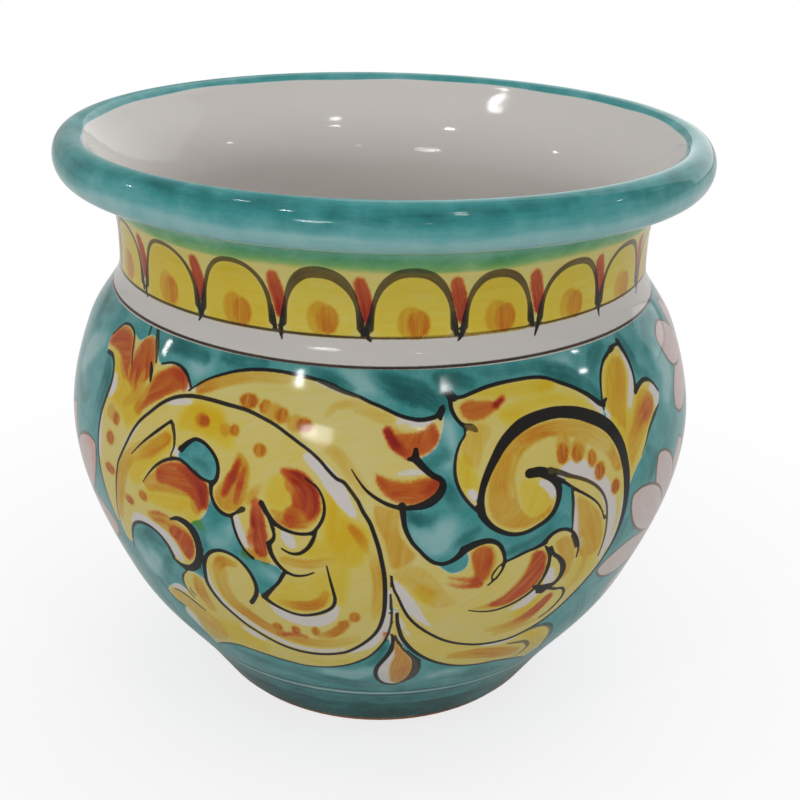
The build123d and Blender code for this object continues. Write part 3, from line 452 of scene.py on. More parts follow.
INK = (
    (0.85, (0.6, 1, 1.4, 1.6, 1.7, 1.7, 1.5, 1.4, 1.6), SCROLL_BACK),
    (0.9, (1.6, 1.8, 1.9, 1.8, 1.8, 1.9, 1.8, 2), SCROLL_FRONT),
    (0.95, (2, 2, 1.8, 1.6, 1.8, 2.2), SCROLL_CURL + ((-42.5, 100.5), (-44, 97.3), (-45.7, 94.6))),
    (0.9, (0.8, 1.3, 1.5, 1.5, 1.6, 1.4, 1.5, 1.6, 2), CREST_TOP),
    (0.7, (0.8, 2, 1.8, 0.8), ((-22, 182), (-17, 180.8), (-12, 179.2), (-6, 177.3))),
    (1, (2.4, 1.6), ((23.9, 173.8), (22.8, 170.4))),
    (0.85, (1.2, 1.4, 1.2, 1, 0.7), ((-129, 176.5), (-124, 182.3), (-119, 183), (-113, 181), (-109, 176),
        (-105.3, 171))),
    (0.65, (1.8, 1.4), ((-105.5, 187.4), (-104, 183.6))),
    (0.7, (1.6, 2.4, 2.2, 1.2), ((-101.3, 188), (-98.3, 184), (-95, 180), (-92.6, 176))),
    (0.9, (1.2, 2.2, 1.4), ((-95.2, 175.3), (-93.2, 172.6), (-92, 169.4))),
    (0.9, (2, 1.5, 1.7, 1.6, 1.4, 1.3, 1, 0.6), LEFT_LEAF_SIDE),
    (0.85, (1, 1.2, 1.6, 1.2), ((-89.5, 176.3), (-84.5, 178), (-79, 177.7), (-75, 175.8), (-71.5, 172.2))),
    (0.9, (0.5, 1.1, 1.5, 1.3), ((-95, 142), (-89, 148.5), (-83, 154), (-79, 157.5), (-77, 159.2))),
    (0.8, (2, 1.4, 0.8), ((-76, 158), (-74.3, 154), (-74, 150.5), (-75, 147.8))),
    (0.9, (0.5, 1.2, 1.6, 1.5, 1.4), ((-88, 133.8), (-85, 138), (-81, 142.5), (-76, 145.9), (-71, 147.3),
        (-67.5, 146.3), (-64, 144.5), (-60.5, 143.2), (-57.5, 142.7))),
    (1, (2.6, 1.6, 1.5, 1.7, 2), ((-70.8, 150.8), (-68, 153.8), (-65, 155.8), (-62, 155.6), (-58, 153.5),
        (-55.3, 150.5), (-54.4, 147), (-55, 144), (-56.8, 141.8))),
    (0.9, (2.2, 1.6, 1.8, 1.8, 1.2), ((-56.8, 142.5), (-56.5, 138.5), (-55, 135.2), (-52.3, 132.9),
        (-49.5, 132.5), (-47, 134))),
    (0.8, (1.6, 2.4), ((-46.3, 134.5), (-44.3, 136))),
    (0.9, (1.2, 1.4, 1.3, 1.6), ((-48.4, 131.8), (-47.5, 127.5), (-46, 123.3), (-44, 119.8), (-41.3, 117.3))),
    (0.95, (2.4, 1.9, 1.5, 1.5, 1.4, 1.1, 0.6), ((-37.8, 139.6), (-35.5, 136), (-32.3, 132.6),
        (-28.5, 130.9), (-24, 130.3), (-20, 131.3), (-17.8, 134), (-16.2, 138), (-16.3, 142.5),
        (-18.5, 147), (-23, 150))),
    (0.9, (1.4, 1.7, 1.4, 2.2), ((-35.7, 136.5), (-33.7, 131.5), (-33.2, 127.5), (-35.2, 124.6))),
    (0.95, (2.2, 1.9, 1.7, 1.3, 0.8), ((-35.2, 124.8), (-34.5, 121), (-32.5, 117), (-30, 114.3),
        (-27, 112.9), (-23, 113.5), (-19.8, 115.2))),
    (0.9, (1, 1.6, 1.8, 1.2), ((-30.6, 123.6), (-28, 122.3), (-25, 122.4), (-22, 124.7), (-20, 128),
        (-18.5, 133))),
    (0.9, (0.7, 1.3, 1.6, 1.8, 1.7, 1.6, 2.4), ((-15.3, 118.6), (-14.4, 113), (-13.4, 107), (-13, 103),
        (-14, 99.6), (-17, 96.6), (-21, 94.4), (-26, 93), (-30, 93.5), (-34, 95.2), (-38, 97.8),
        (-39.8, 99.7))),
    (0.95, (2.6, 1.5, 1.8), ((-39.6, 99.6), (-36, 104.3), (-33, 108.3), (-30.6, 113))),
    (0.85, (0.7, 1.5, 1.7, 1.7, 2.2), ((-106, 97), (-103.5, 103), (-101, 108), (-98, 112.3), (-94, 115),
        (-90, 116), (-86, 115.8), (-82, 114), (-79.3, 111), (-77.8, 106.5))),
    (0.95, (1, 2.6, 3.6, 3.2, 3.2, 3.2, 3, 1.8), ((-75, 123.7), (-72, 125), (-68.7, 124.8), (-65.5, 123),
        (-63.8, 119.5), (-63.4, 115), (-64.6, 110), (-67, 106), (-70.5, 103.4), (-74.5, 103.2), (-78, 105))),
    (0.8, (0.8, 1.3, 1.1, 0.8), ((-72.5, 101.5), (-76, 97.5), (-77.5, 93), (-76.8, 88.6), (-74.8, 85.6))),
    (0.75, (0.8, 1.2, 0.8), ((-75.2, 91), (-74.5, 89), (-73, 87.6))),
    (0.85, (0.8, 1.4, 1.5, 1), ((-87, 85), (-83.5, 85.6), (-79, 84.3), (-75, 82), (-71.6, 79.6))),
    (0.75, (1, 1.4, 1.2), ((-95.5, 87), (-93.5, 81), (-90, 77.2), (-85, 75.8))),
    (0.8, (1, 1.4, 1.6, 1.5, 1.4, 1.5, 1.5, 1.3, 1.2, 1), LOWER_EDGE),
    (0.95, (1, 1.3, 1.6, 1.6, 1.5, 1.6, 1.7, 1.8, 1.8), MAIN_STEM[:22]),
    (1, (1.8, 1.7, 1.7, 2.1, 2.6, 3, 3.6, 4, 4.5, 4.8, 4.8, 4.4, 4, 4.2, 4.6, 3.8, 3, 2.6, 3),
        MAIN_STEM[21:] + ((94, 152.7), (91.2, 156.7), (87, 160.2), (82, 163), (77, 165.2), (72, 166.6),
        (67, 167.4), (62, 167.4), (57, 166.8), (52, 165.3), (48, 163), (44.5, 160), (41.5, 156),
        (38.5, 151), (36.5, 146), (35.8, 141), (36.3, 137.2))),
    (1, (2.8, 2.2, 1.9, 1.8, 1.9, 2.2, 2.4, 3, 3.8, 3.4), ((36.3, 137.2), (38, 134.6), (40.5, 132),
        (43.5, 130), (46.5, 128.6), (50, 127.9), (53.5, 128.2), (57.3, 129.5), (60.7, 131.1),
        (63.3, 133.5), (64.8, 136.5), (65.4, 139.5), (65, 142.6), (63.5, 145.2), (61, 147.4),
        (58, 148.8), (54.6, 149))),
    (1, (3.4, 3.2, 2.2), ((53.8, 149), (58, 148.6), (62.5, 147.6))),
    (0.72, (2.6, 1.7, 1.5, 1.3, 1.2, 1), ((62, 148.6), (66, 147), (70, 145), (74, 143.3), (78, 141.2),
        (82, 138.3), (85.5, 134.3), (87.8, 129.5), (89, 124), (90, 118), (90.4, 112), (90.2, 106))),
    (0.9, (1.6, 1.4, 1.2, 1, 0.7), ((63.5, 146), (67, 143.8), (70, 141.5), (73, 139.2), (76, 137.2),
        (79, 135), (82.5, 132), (85.5, 128), (87.6, 123.6))),
    (0.75, (1.2, 1.7, 1.5, 0.8), ((70.8, 141), (71.5, 135), (71.7, 130), (72.2, 124.5))),
    (0.85, (3.4, 3), ((26.7, 178.2), (28.2, 177))),
    (0.9, (2, 1.8, 1.6, 2.2), ((26.8, 177.5), (27.1, 173), (28.6, 170), (31, 167.7), (33.5, 167.2))),
    (0.6, (2.2, 2.6, 1.8), ((32.3, 167.2), (34, 166.8), (35.4, 165.6))),
    (0.85, (1, 1.2, 1.5, 1.5, 1.4), RIGHT_SIDE[3:]),
    (0.9, (1.5, 1.7, 1.5, 1.6, 1.8, 2.4), RIGHT_CREST + ((90.3, 165.3),)),
    (1, (2, 1.4), ((89.5, 166), (92, 166.8))),
    (1, (2, 2.8, 1.4), ((14, 160.6), (13.6, 158), (11.5, 157.6))),
    (0.95, (3, 2.4, 2.2, 3, 3.2, 2.2, 1.8, 1.6, 1.4, 0.9, 0.5), ((14, 157.6), (16.5, 154.8), (20, 151.8),
        (22.4, 150.5), (23, 148.5), (22, 146), (20, 144), (16.5, 142.2), (12.5, 141.5), (8.5, 141.6),
        (4.5, 142.8), (1, 144.7), (-2.5, 147.4), (-5, 150.4), (-7.5, 154))),
    (0.95, (2.6, 2, 1.7, 1.6, 1.8, 2, 3), ((9.4, 142.4), (9.8, 139), (10.5, 134.5), (11.7, 131.5),
        (13.3, 128.5), (15.5, 125.8), (18, 122.8), (20.5, 120.7), (23.5, 119.8), (26.5, 120.7),
        (29, 122.6), (30.5, 124.6))),
    (0.95, (3.4, 2.6, 1.9, 1.6, 1.2, 1), ((30.6, 124.8), (33, 126), (36, 127), (39.5, 127.1),
        (42.5, 125.6), (44.8, 122), (45.8, 117.6), (45.4, 114), (43.8, 110.8), (41, 107.6))),
    (0.8, (0.9, 1, 0.8), ((45.6, 117.4), (43.3, 115), (42, 112), (42.3, 110), (44, 110.3))),
    (0.95, (1.2, 1.6, 1.5, 2.4), ((46, 117.2), (49.5, 118.4), (53.5, 119.8), (57.5, 120.7), (61, 121.9))),
    (0.9, (2.4, 1.8, 1.5, 1.3, 1), ((60.5, 122), (64, 125), (67, 125.6), (70, 124.9), (73, 122.6),
        (75.5, 119), (77, 115), (77.3, 110.5))),
    (0.8, (0.8, 1, 0.8), ((72.3, 121.7), (74, 118.6), (75.4, 115.5))),
    (0.9, (1.4, 2, 1.7, 1.6, 1.2, 0.7), ((62, 119.6), (64, 115.5), (64.5, 111), (64, 106.5),
        (62.5, 102.5), (60, 99.5), (56, 96.5), (51, 94.3), (46, 93.4), (41, 94), (35.5, 95.8))),
    (1, (1.4, 3.2, 3.8, 2), ((60.5, 102), (63.5, 100.2), (66.5, 99.4), (70, 100.2))),
    (1, (2, 3), ((63.2, 98.2), (65.5, 98))),
    (0.95, (1.4, 2, 2.9, 2.4), ((64, 119.3), (65.6, 116), (68.7, 113), (71.2, 109.5), (72.3, 105.5),
        (71.6, 102), (70, 100))),
    (0.85, (2, 1.5, 1.7, 1.7, 1), ((68, 98.7), (72, 96.6), (75.5, 95.6), (77.6, 93), (77.8, 90),
        (76, 86), (73, 82.7), (70, 80.8))),
    (0.95, (1.5, 2, 1.9, 1.8, 1.6, 1.6, 1.5, 1), SECOND_STEM),
    (0.6, (1, 2.2, 2.4, 1.5), ((59, 68.6), (64, 67.5), (69, 66), (72, 63), (73.5, 60), (73, 57),
        (71, 54.5))),
    (0.55, (1.4, 2.6, 2.6, 2), ((65, 73.6), (70, 74.6), (76, 74), (80, 71.6), (83, 68), (84.7, 64),
        (85.6, 59), (87, 53), (89, 48))),
    (0.95, (1, 2.2, 2.3, 2.2, 2.2, 2), ((7.6, 85), (8.1, 80), (7.5, 75), (6, 71), (4, 67), (2.3, 63),
        (1.6, 58), (2, 54), (3.3, 50), (5.5, 47), (8.5, 45.6), (11.5, 45.3))),
    (0.75, (1, 1.2, 2.2, 3.8, 4, 3, 2), ((8.6, 84), (10.5, 79.4), (12.7, 75.4), (15.4, 72), (17.8, 68.5),
        (19, 64), (19, 59), (18, 54), (16, 50), (13.7, 47), (11.3, 45.5))),
    (0.9, (0.9, 1.2, 1.4, 1.4, 1.8), ((89.8, 163.5), (90.1, 169), (91.5, 173.2), (94, 176.9), (97, 179.4),
        (101, 181.2))),
    (0.85, (1.4, 2.6, 1.6), ((101.5, 181.3), (104.5, 182.3), (107.5, 183))),
    (0.95, (3, 2, 1.6, 1.7), ((110.5, 183.5), (111.6, 178), (111.6, 173), (110.8, 168), (109.6, 164.4))),
    (0.9, (2.6, 2.2, 1.6, 1.4), ((110, 164.8), (112.5, 166), (116.5, 167), (120.5, 166.2), (124, 163.8),
        (127, 160))),
    (0.85, (1, 2.2, 1.6, 1, 0.7), ((125, 155.3), (121.5, 153.7), (118, 151.6), (114.5, 149), (111.5, 145.2),
        (108.5, 141.6))),
)

# Brushwork of the ground, its dark clouds and then its pale ones: (loads, widths, path)

GROUND_DARKS = (
    ((0.5, 0.8, 0.8, 0.7), (5, 6, 6, 5), ((-98, 179), (-90, 183.5), (-80, 184), (-70, 183))),
    ((0.6, 0.75, 0.6), (3, 5, 4), ((-62, 185), (-52, 184.5), (-44, 185.6))),
    ((0.6, 0.8, 0.6), (3, 4.5, 3), ((-24, 185), (-16, 183), (-9, 180))),
    ((0.4, 0.8, 0.9, 0.8), (4, 8, 9, 5), ((-1, 184), (8, 181), (17, 178), (22, 174.5))),
    ((0.7, 0.8, 0.6), (4, 6, 5), ((23, 184), (29, 183), (35, 181))),
    ((0.3, 0.5, 0.4), (3, 4, 3), ((40, 184), (50, 183.5), (58, 184))),
    ((0.5, 0.85, 0.9, 0.8, 0.7), (4, 5, 7, 6, 3), ((60, 184.5), (68, 183), (76, 179), (84, 173.5),
        (89, 168))),
    ((0.6, 0.8, 0.5), (4, 6, 4), ((99, 185), (93, 182), (87, 177))),
    ((0.6, 0.7, 0.6, 0.5), (5, 6, 5, 4), ((112, 185), (114, 178), (115, 172), (120, 168.5))),
    ((0.5, 0.7, 0.5, 0.3), (5, 8, 8, 6), ((-123, 168), (-120.5, 162), (-121.5, 154), (-123, 146))),
    ((0.5, 0.6, 0.3), (4, 6, 5), ((-82, 110), (-88, 112), (-95, 108))),
    ((0.5, 0.4, 0.2), (4, 5, 4), ((-81, 104), (-86, 96), (-93, 88))),
    ((0.5, 0.6, 0.4), (2.4, 3, 2.4), ((-64, 148.5), (-60.5, 148), (-58, 146))),
    ((0.6, 0.4), (3, 4), ((-65.5, 104), (-64.5, 108))),
    ((0.5, 0.3), (2, 3), ((-60.5, 118), (-60.5, 123))),
    ((0.9, 0.95, 0.5), (3, 5, 4), ((11.8, 139.5), (15.5, 137), (19.5, 137.5))),
    ((0.5, 0.75, 0.6), (3, 4.5, 3), ((28, 127), (31.5, 129.5), (35, 132))),
    ((0.5, 0.6), (4, 5), ((19, 155.5), (24, 158.5))),
    ((0.6, 0.7, 0.3), (3, 5, 4), ((24.5, 149), (26, 145), (28.5, 141))),
    ((0.6, 0.75, 0.6, 0.4), (3, 4.5, 4, 3), ((47, 121), (52, 122), (58, 124.5), (62, 127))),
    ((0.6, 0.5), (2, 2.4), ((8.6, 136.5), (8.2, 140))),
    ((0.7, 0.75, 0.4), (3, 4, 3), ((25, 185), (25, 180), (25, 173))),
    ((0.5, 0.65, 0.4), (3, 4, 3), ((4.5, 78), (2.5, 71), (-1, 65))),
    ((0.3, 0.5, 0.5, 0.3), (6, 9, 9, 6), ((-40, 52), (-22, 48), (-4, 44), (14, 41))),
    ((0.3, 0.5, 0.4), (6, 9, 6), ((34, 50), (50, 48), (66, 44))),
    ((0.4, 0.5, 0.4), (4, 7, 5), ((-66, 56), (-56, 54), (-46, 52))),
    ((0.3, 0.5, 0.3), (4, 6, 4), ((-104, 74), (-98, 64), (-92, 52))),
    ((0.3, 0.45, 0.3), (5, 7, 5), ((92, 84), (98, 72), (104, 60))),
    ((0.4, 0.5, 0.3), (3, 5, 3), ((103, 118), (101.5, 112), (99.5, 106))),
    ((0.3, 0.5, 0.4), (4, 6, 4), ((113, 142), (118, 136), (115, 130))),
    ((0.3, 0.5, 0.3), (4, 6, 4), ((-132, 152), (-140, 148), (-150, 152))),
    ((0.3, 0.5, 0.3), (4, 7, 4), ((128, 176), (136, 182), (150, 184))),
    ((0.3, 0.5, 0.3), (4, 7, 4), ((-140, 184), (-152, 181), (-166, 184))),
    ((0.3, 0.5, 0.5, 0.3), (6, 9, 9, 6), ((110, 62), (130, 50), (150, 46), (175, 52))),
    ((0.3, 0.5, 0.5, 0.3), (6, 9, 9, 6), ((-110, 60), (-130, 52), (-150, 46), (-172, 50))),
    ((0.3, 0.5, 0.3), (5, 8, 5), ((186, 152), (196, 140), (204, 124))),
)
GROUND_LIGHTS = (
    ((0.42, 0.36, 0.4), (6, 10, 8), ((14, 132), (21, 128), (25, 134))),
    ((0.35, 0.3, 0.4), (5, 4, 4), ((25.5, 168), (26.5, 163), (25.5, 156))),
    ((0.4, 0.5, 0.45), (5, 8, 6), ((-49, 128), (-52, 123), (-56, 120))),
    ((0.5, 0.4), (5, 5), ((-37, 113), (-34, 110.5))),
    ((0.45, 0.38, 0.42), (5, 9, 6), ((-12, 186), (-7, 182.5), (-2, 181))),
    ((0.5, 0.42, 0.45), (4, 6, 4), ((-75, 180), (-70, 178.5), (-66, 180.5))),
    ((0.4, 0.35, 0.4), (8, 12, 8), ((-100, 100), (-95, 94), (-90, 100))),
    ((0.42, 0.35, 0.4), (6, 10, 6), ((-20, 56), (-8, 55), (0, 60))),
    ((0.42, 0.38, 0.45), (6, 9, 6), ((28, 52), (34, 53), (42, 51))),
    ((0.42, 0.4), (4, 6), ((70, 184), (78, 184))),
    ((0.36, 0.3, 0.36), (8, 12, 8), ((-135, 172), (-145, 165), (-150, 158))),
    ((0.36, 0.3, 0.36), (8, 12, 8), ((134, 156), (140, 164), (134, 170))),
)

# Petals of the flowers at the sides: flower centre, then (direction in degrees, length, width)
FLOWERS = (
    ((152, 92), ((175, 58, 17), (144, 60, 18), (124, 55, 17), (100, 44, 17), (70, 42, 17), (30, 34, 16),
        (-12, 32, 16), (-60, 38, 17), (-105, 38, 17), (-145, 42, 17))),
    ((-172, 92), ((41, 67, 20), (12, 58, 19), (66, 54, 18), (-22, 42, 17), (-62, 38, 17), (-105, 36, 17),
        (-150, 34, 16), (170, 32, 16), (130, 36, 16), (96, 42, 17))),
    ((180, 160), ((158, 42, 18), (196, 40, 17), (110, 24, 15), (60, 24, 15), (20, 32, 16), (-20, 34, 16),
        (-62, 24, 15), (-120, 22, 14))),
)

# Arches of the neck that face the front: left foot, right foot, crown, its length s, its width in ink
ARCHES = (
    (-114.5, -79.5, -99, 218.7, 1.7), (-75.3, -43, -60, 219.4, 1.9), (-37.5, -7, -23, 219, 4.4),
    (-2.5, 30, 13.5, 220, 3.6), (35, 63.5, 48, 218.2, 3.2), (69, 101.5, 86, 217.8, 2.6),
    (105, 139, 122, 218, 2.2),
)
# Arches in the whole turn, where they stand, half the usual width of one, and its outline as shares of
# its width and rise
ARCH_COUNT = 21
ARCH_FOOT = 200.0
ARCH_HALF = 16
ARCH_SHARES = ((0, 0), (0.03, 0.42), (0.13, 0.74), (0.29, 0.94), (0.5, 1), (0.71, 0.93), (0.87, 0.72),
    (0.97, 0.4), (1, 0))
# Lines drawn round the pot, under the arches and under the white band
FRIEZE_LINE = 196.9
BAND_LINE = 187.5


# The pot's profile, read from the frame. A coat's outer skin stands further than SKIN_GAP from the clay,
# rings of its mesh are kept about RING_SPACING apart, and the curve through them is sampled in PROFILE_STEP.
# The rim's rings are put in order by their direction from its middle, from RIM_START on, which points
# below and inwards. Up to UNDER_RIM the outside climbs all the way.
SKIN_GAP = 0.3
RING_SPACING = 1.3
PROFILE_STEP = 0.25
EASING_ROUNDS = 60
RIM_START = -150
UNDER_RIM = 208.0


def skin_rings(node, clay):
    """Radius and height in millimetres of the vertex rings on a glaze coat's outer skin: those that
    stand away from the clay."""
    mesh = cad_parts[node].data
    co = np.empty(len(mesh.vertices) * 3)
    mesh.vertices.foreach_get("co", co)
    co = co.reshape(-1, 3)
    rings = np.unique(np.round(np.stack([np.hypot(co[:, 0], co[:, 1]), co[:, 2]], 1) / MM, 3), axis=0)
    away = [clay.find_nearest(Vector((r * MM, 0, z * MM)))[3] for r, z in rings]
    return rings[np.array(away) > SKIN_GAP * MM]


def smooth_curve(points, step, closed=False):
    """A curve through the points: between two of them a cubic whose slopes are the weighted means of
    the chords that meet there, sampled about every step."""
    p = np.asarray(points, float)
    if closed:
        p = np.vstack([p[-2:], p, p[:3]])
    chord = np.diff(p, axis=0)
    length = np.maximum(np.hypot(*chord.T), 1e-6)
    slope = chord / length[:, None]
    before, after = length[:-1, None], length[1:, None]
    inner = (slope[:-1] * after + slope[1:] * before) / (before + after)
    tangent = np.vstack([slope[:1], inner, slope[-1:]])
    first, last = (2, len(p) - 3) if closed else (0, len(p) - 1)
    count = np.maximum(1, np.ceil(length / step).astype(int))[first:last]
    which = np.repeat(np.arange(first, last), count)
    t = (np.arange(len(which)) - np.repeat(np.cumsum(count) - count, count)) / np.repeat(count, count)
    t, h = t[:, None], length[which][:, None]
    curve = (
        (2 * t**3 - 3 * t**2 + 1) * p[which]
        + (t**3 - 2 * t**2 + t) * h * tangent[which]
        + (3 * t**2 - 2 * t**3) * p[which + 1]
        + (t**3 - t**2) * h * tangent[which + 1]
    )
    return np.vstack([curve, p[last]])


def thinned(rings, spacing):
    """Rings in order along the profile, with only the first of those in each spacing kept, and the last."""
    along = np.cumsum(np.hypot(*np.diff(rings, axis=0, prepend=rings[:1]).T))
    kept = np.unique(np.floor(along / spacing), return_index=True)[1]
    kept = kept[along[-1] - along[kept] > spacing / 2]
    return rings[np.append(kept, len(rings) - 1)]


def read_profile():
    """The pot's skin from the bare foot up the outside, over the rim and down to the floor's centre:
    radius, height and outward normal against the length s along it. Kinks are eased by moving each
    point repeatedly to the mean of itself and of its neighbours' mean."""
    dg = bpy.context.evaluated_depsgraph_get()
    clay = BVHTree.FromObject(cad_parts["clay_body"], dg)
    foot = skin_rings("foot_glaze", clay)
    foot = foot[np.argsort(foot[:, 1])]
    wall = np.vstack([skin_rings(n, clay) for n in ("belly_glaze", "white_band_glaze", "neck_glaze")])
    wall = wall[np.argsort(wall[:, 1])]
    rim = skin_rings("rim_glaze", clay)
    centre = (rim[rim[:, 1].argmax(), 0], rim[rim[:, 0].argmax(), 1])
    turn = (np.degrees(np.arctan2(rim[:, 1] - centre[1], rim[:, 0] - centre[0])) - RIM_START) % 360
    rim = rim[np.argsort(turn)]
    inside = skin_rings("inner_glaze", clay)
    inside = inside[np.lexsort((-inside[:, 0], -np.round(inside[:, 1], 1)))]
    body = thinned(np.vstack([wall, rim, inside, [[0.0, inside[-1, 1]]]]), RING_SPACING)
    foot = foot[[0, -1]]
    ground = foot[0] - (foot[1] - foot[0]) * foot[0, 1] / (foot[1, 1] - foot[0, 1])
    parts = [smooth_curve(np.vstack([ground, foot]), PROFILE_STEP), smooth_curve(body, PROFILE_STEP)]
    for _ in range(EASING_ROUNDS):
        parts[1][1:-1] = (parts[1][:-2] + 2 * parts[1][1:-1] + parts[1][2:]) / 4
    s, rows = 0.0, []
    for part in parts:
        along = np.concatenate([[0], np.cumsum(np.hypot(*np.diff(part, axis=0).T))])
        slope = np.gradient(part, along, axis=0)
        slope /= np.hypot(*slope.T)[:, None]
        rows.append(np.column_stack([s + along, part, slope[:, 1], -slope[:, 0]]))
        s += along[-1]
    # The second part starts just behind the first, so that each length names one point
    rows[1][0, 0] += 1e-6
    return np.vstack(rows)


PROFILE = read_profile()
CREST_S = PROFILE[PROFILE[:, 2].argmax(), 0]
END_S = PROFILE[-1, 0]


def s_at_height(z, inside=False):
    """Length along the profile at which the outside, or the inside, reaches a height in millimetres."""
    if inside:
        rows = PROFILE[PROFILE[:, 0] >= CREST_S]
        return float(np.interp(-z, -rows[:, 2], rows[:, 0]))
    rows = PROFILE[PROFILE[:, 2] < UNDER_RIM]
    rows = rows[rows[:, 0] < CREST_S]
    return float(np.interp(z, rows[:, 2], rows[:, 0]))


def node_heights(node):
    """Lowest and highest point of a CAD node in millimetres."""
    low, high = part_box(node)
    return low.z / MM, high.z / MM


FOOT_TOP_S = s_at_height(node_heights("foot_glaze")[1])
FOOT_LOW_S = s_at_height(node_heights("foot_glaze")[0])
BELLY_TOP_S = s_at_height(node_heights("belly_glaze")[1])
NECK_LOW_S = s_at_height(node_heights("neck_glaze")[0])
NECK_TOP_S = s_at_height(node_heights("neck_glaze")[1])
INSIDE_TOP_S = s_at_height(node_heights("inner_glaze")[1], inside=True)


def on_pot(u, s, turned=0.0):
    """Places (u, s) on the pot: s picks a point of the profile, and u turns it about Z, from the front
    towards the right. Returns positions in metres and unit normals."""
    r, z, across, up = (np.interp(s, PROFILE[:, 0], PROFILE[:, k]) for k in (1, 2, 3, 4))
    angle = np.asarray(u) / BELLY_RADIUS + turned
    co = np.stack([r * np.sin(angle), -r * np.cos(angle), z], 1) * MM
    size = np.hypot(across, up)
    normal = np.stack([across * np.sin(angle), -across * np.cos(angle), up], 1) / size[:, None]
    return co, normal


# Painting. Where nothing is drawn, the brush went level round the pot in ripples, each given by its height
# in millimetres, its waves in one period and its phase. A mark sets the direction of the brush up to
# MARK_REACH beyond its edge, and the streaks of each mark start MARK_SHIFT further on, within MARK_CYCLE.
RIPPLES = ((3, 17, 0), (2, 43, 1))
MARK_REACH = 0.3
MARK_SHIFT = 7.3
MARK_CYCLE = 19

# So many pieces of a path are measured at once
BLOCK = 32

# The paler touch under an orange one: its load, and its size against that one
HALO_LOAD = 0.5
HALO_GROWTH = 1.15


def spread(values, at):
    """Values laid out evenly from 0 to 1, read at the shares at, with straight lines between them."""
    return np.interp(at, np.linspace(0, 1, len(values)), values)


def oval(wide, high, count):
    """Points of an oval round the origin, from its half width and half height."""
    turn = np.linspace(0, 2 * math.pi, count, endpoint=False)
    return np.stack([np.cos(turn) * wide, np.sin(turn) * high], 1)


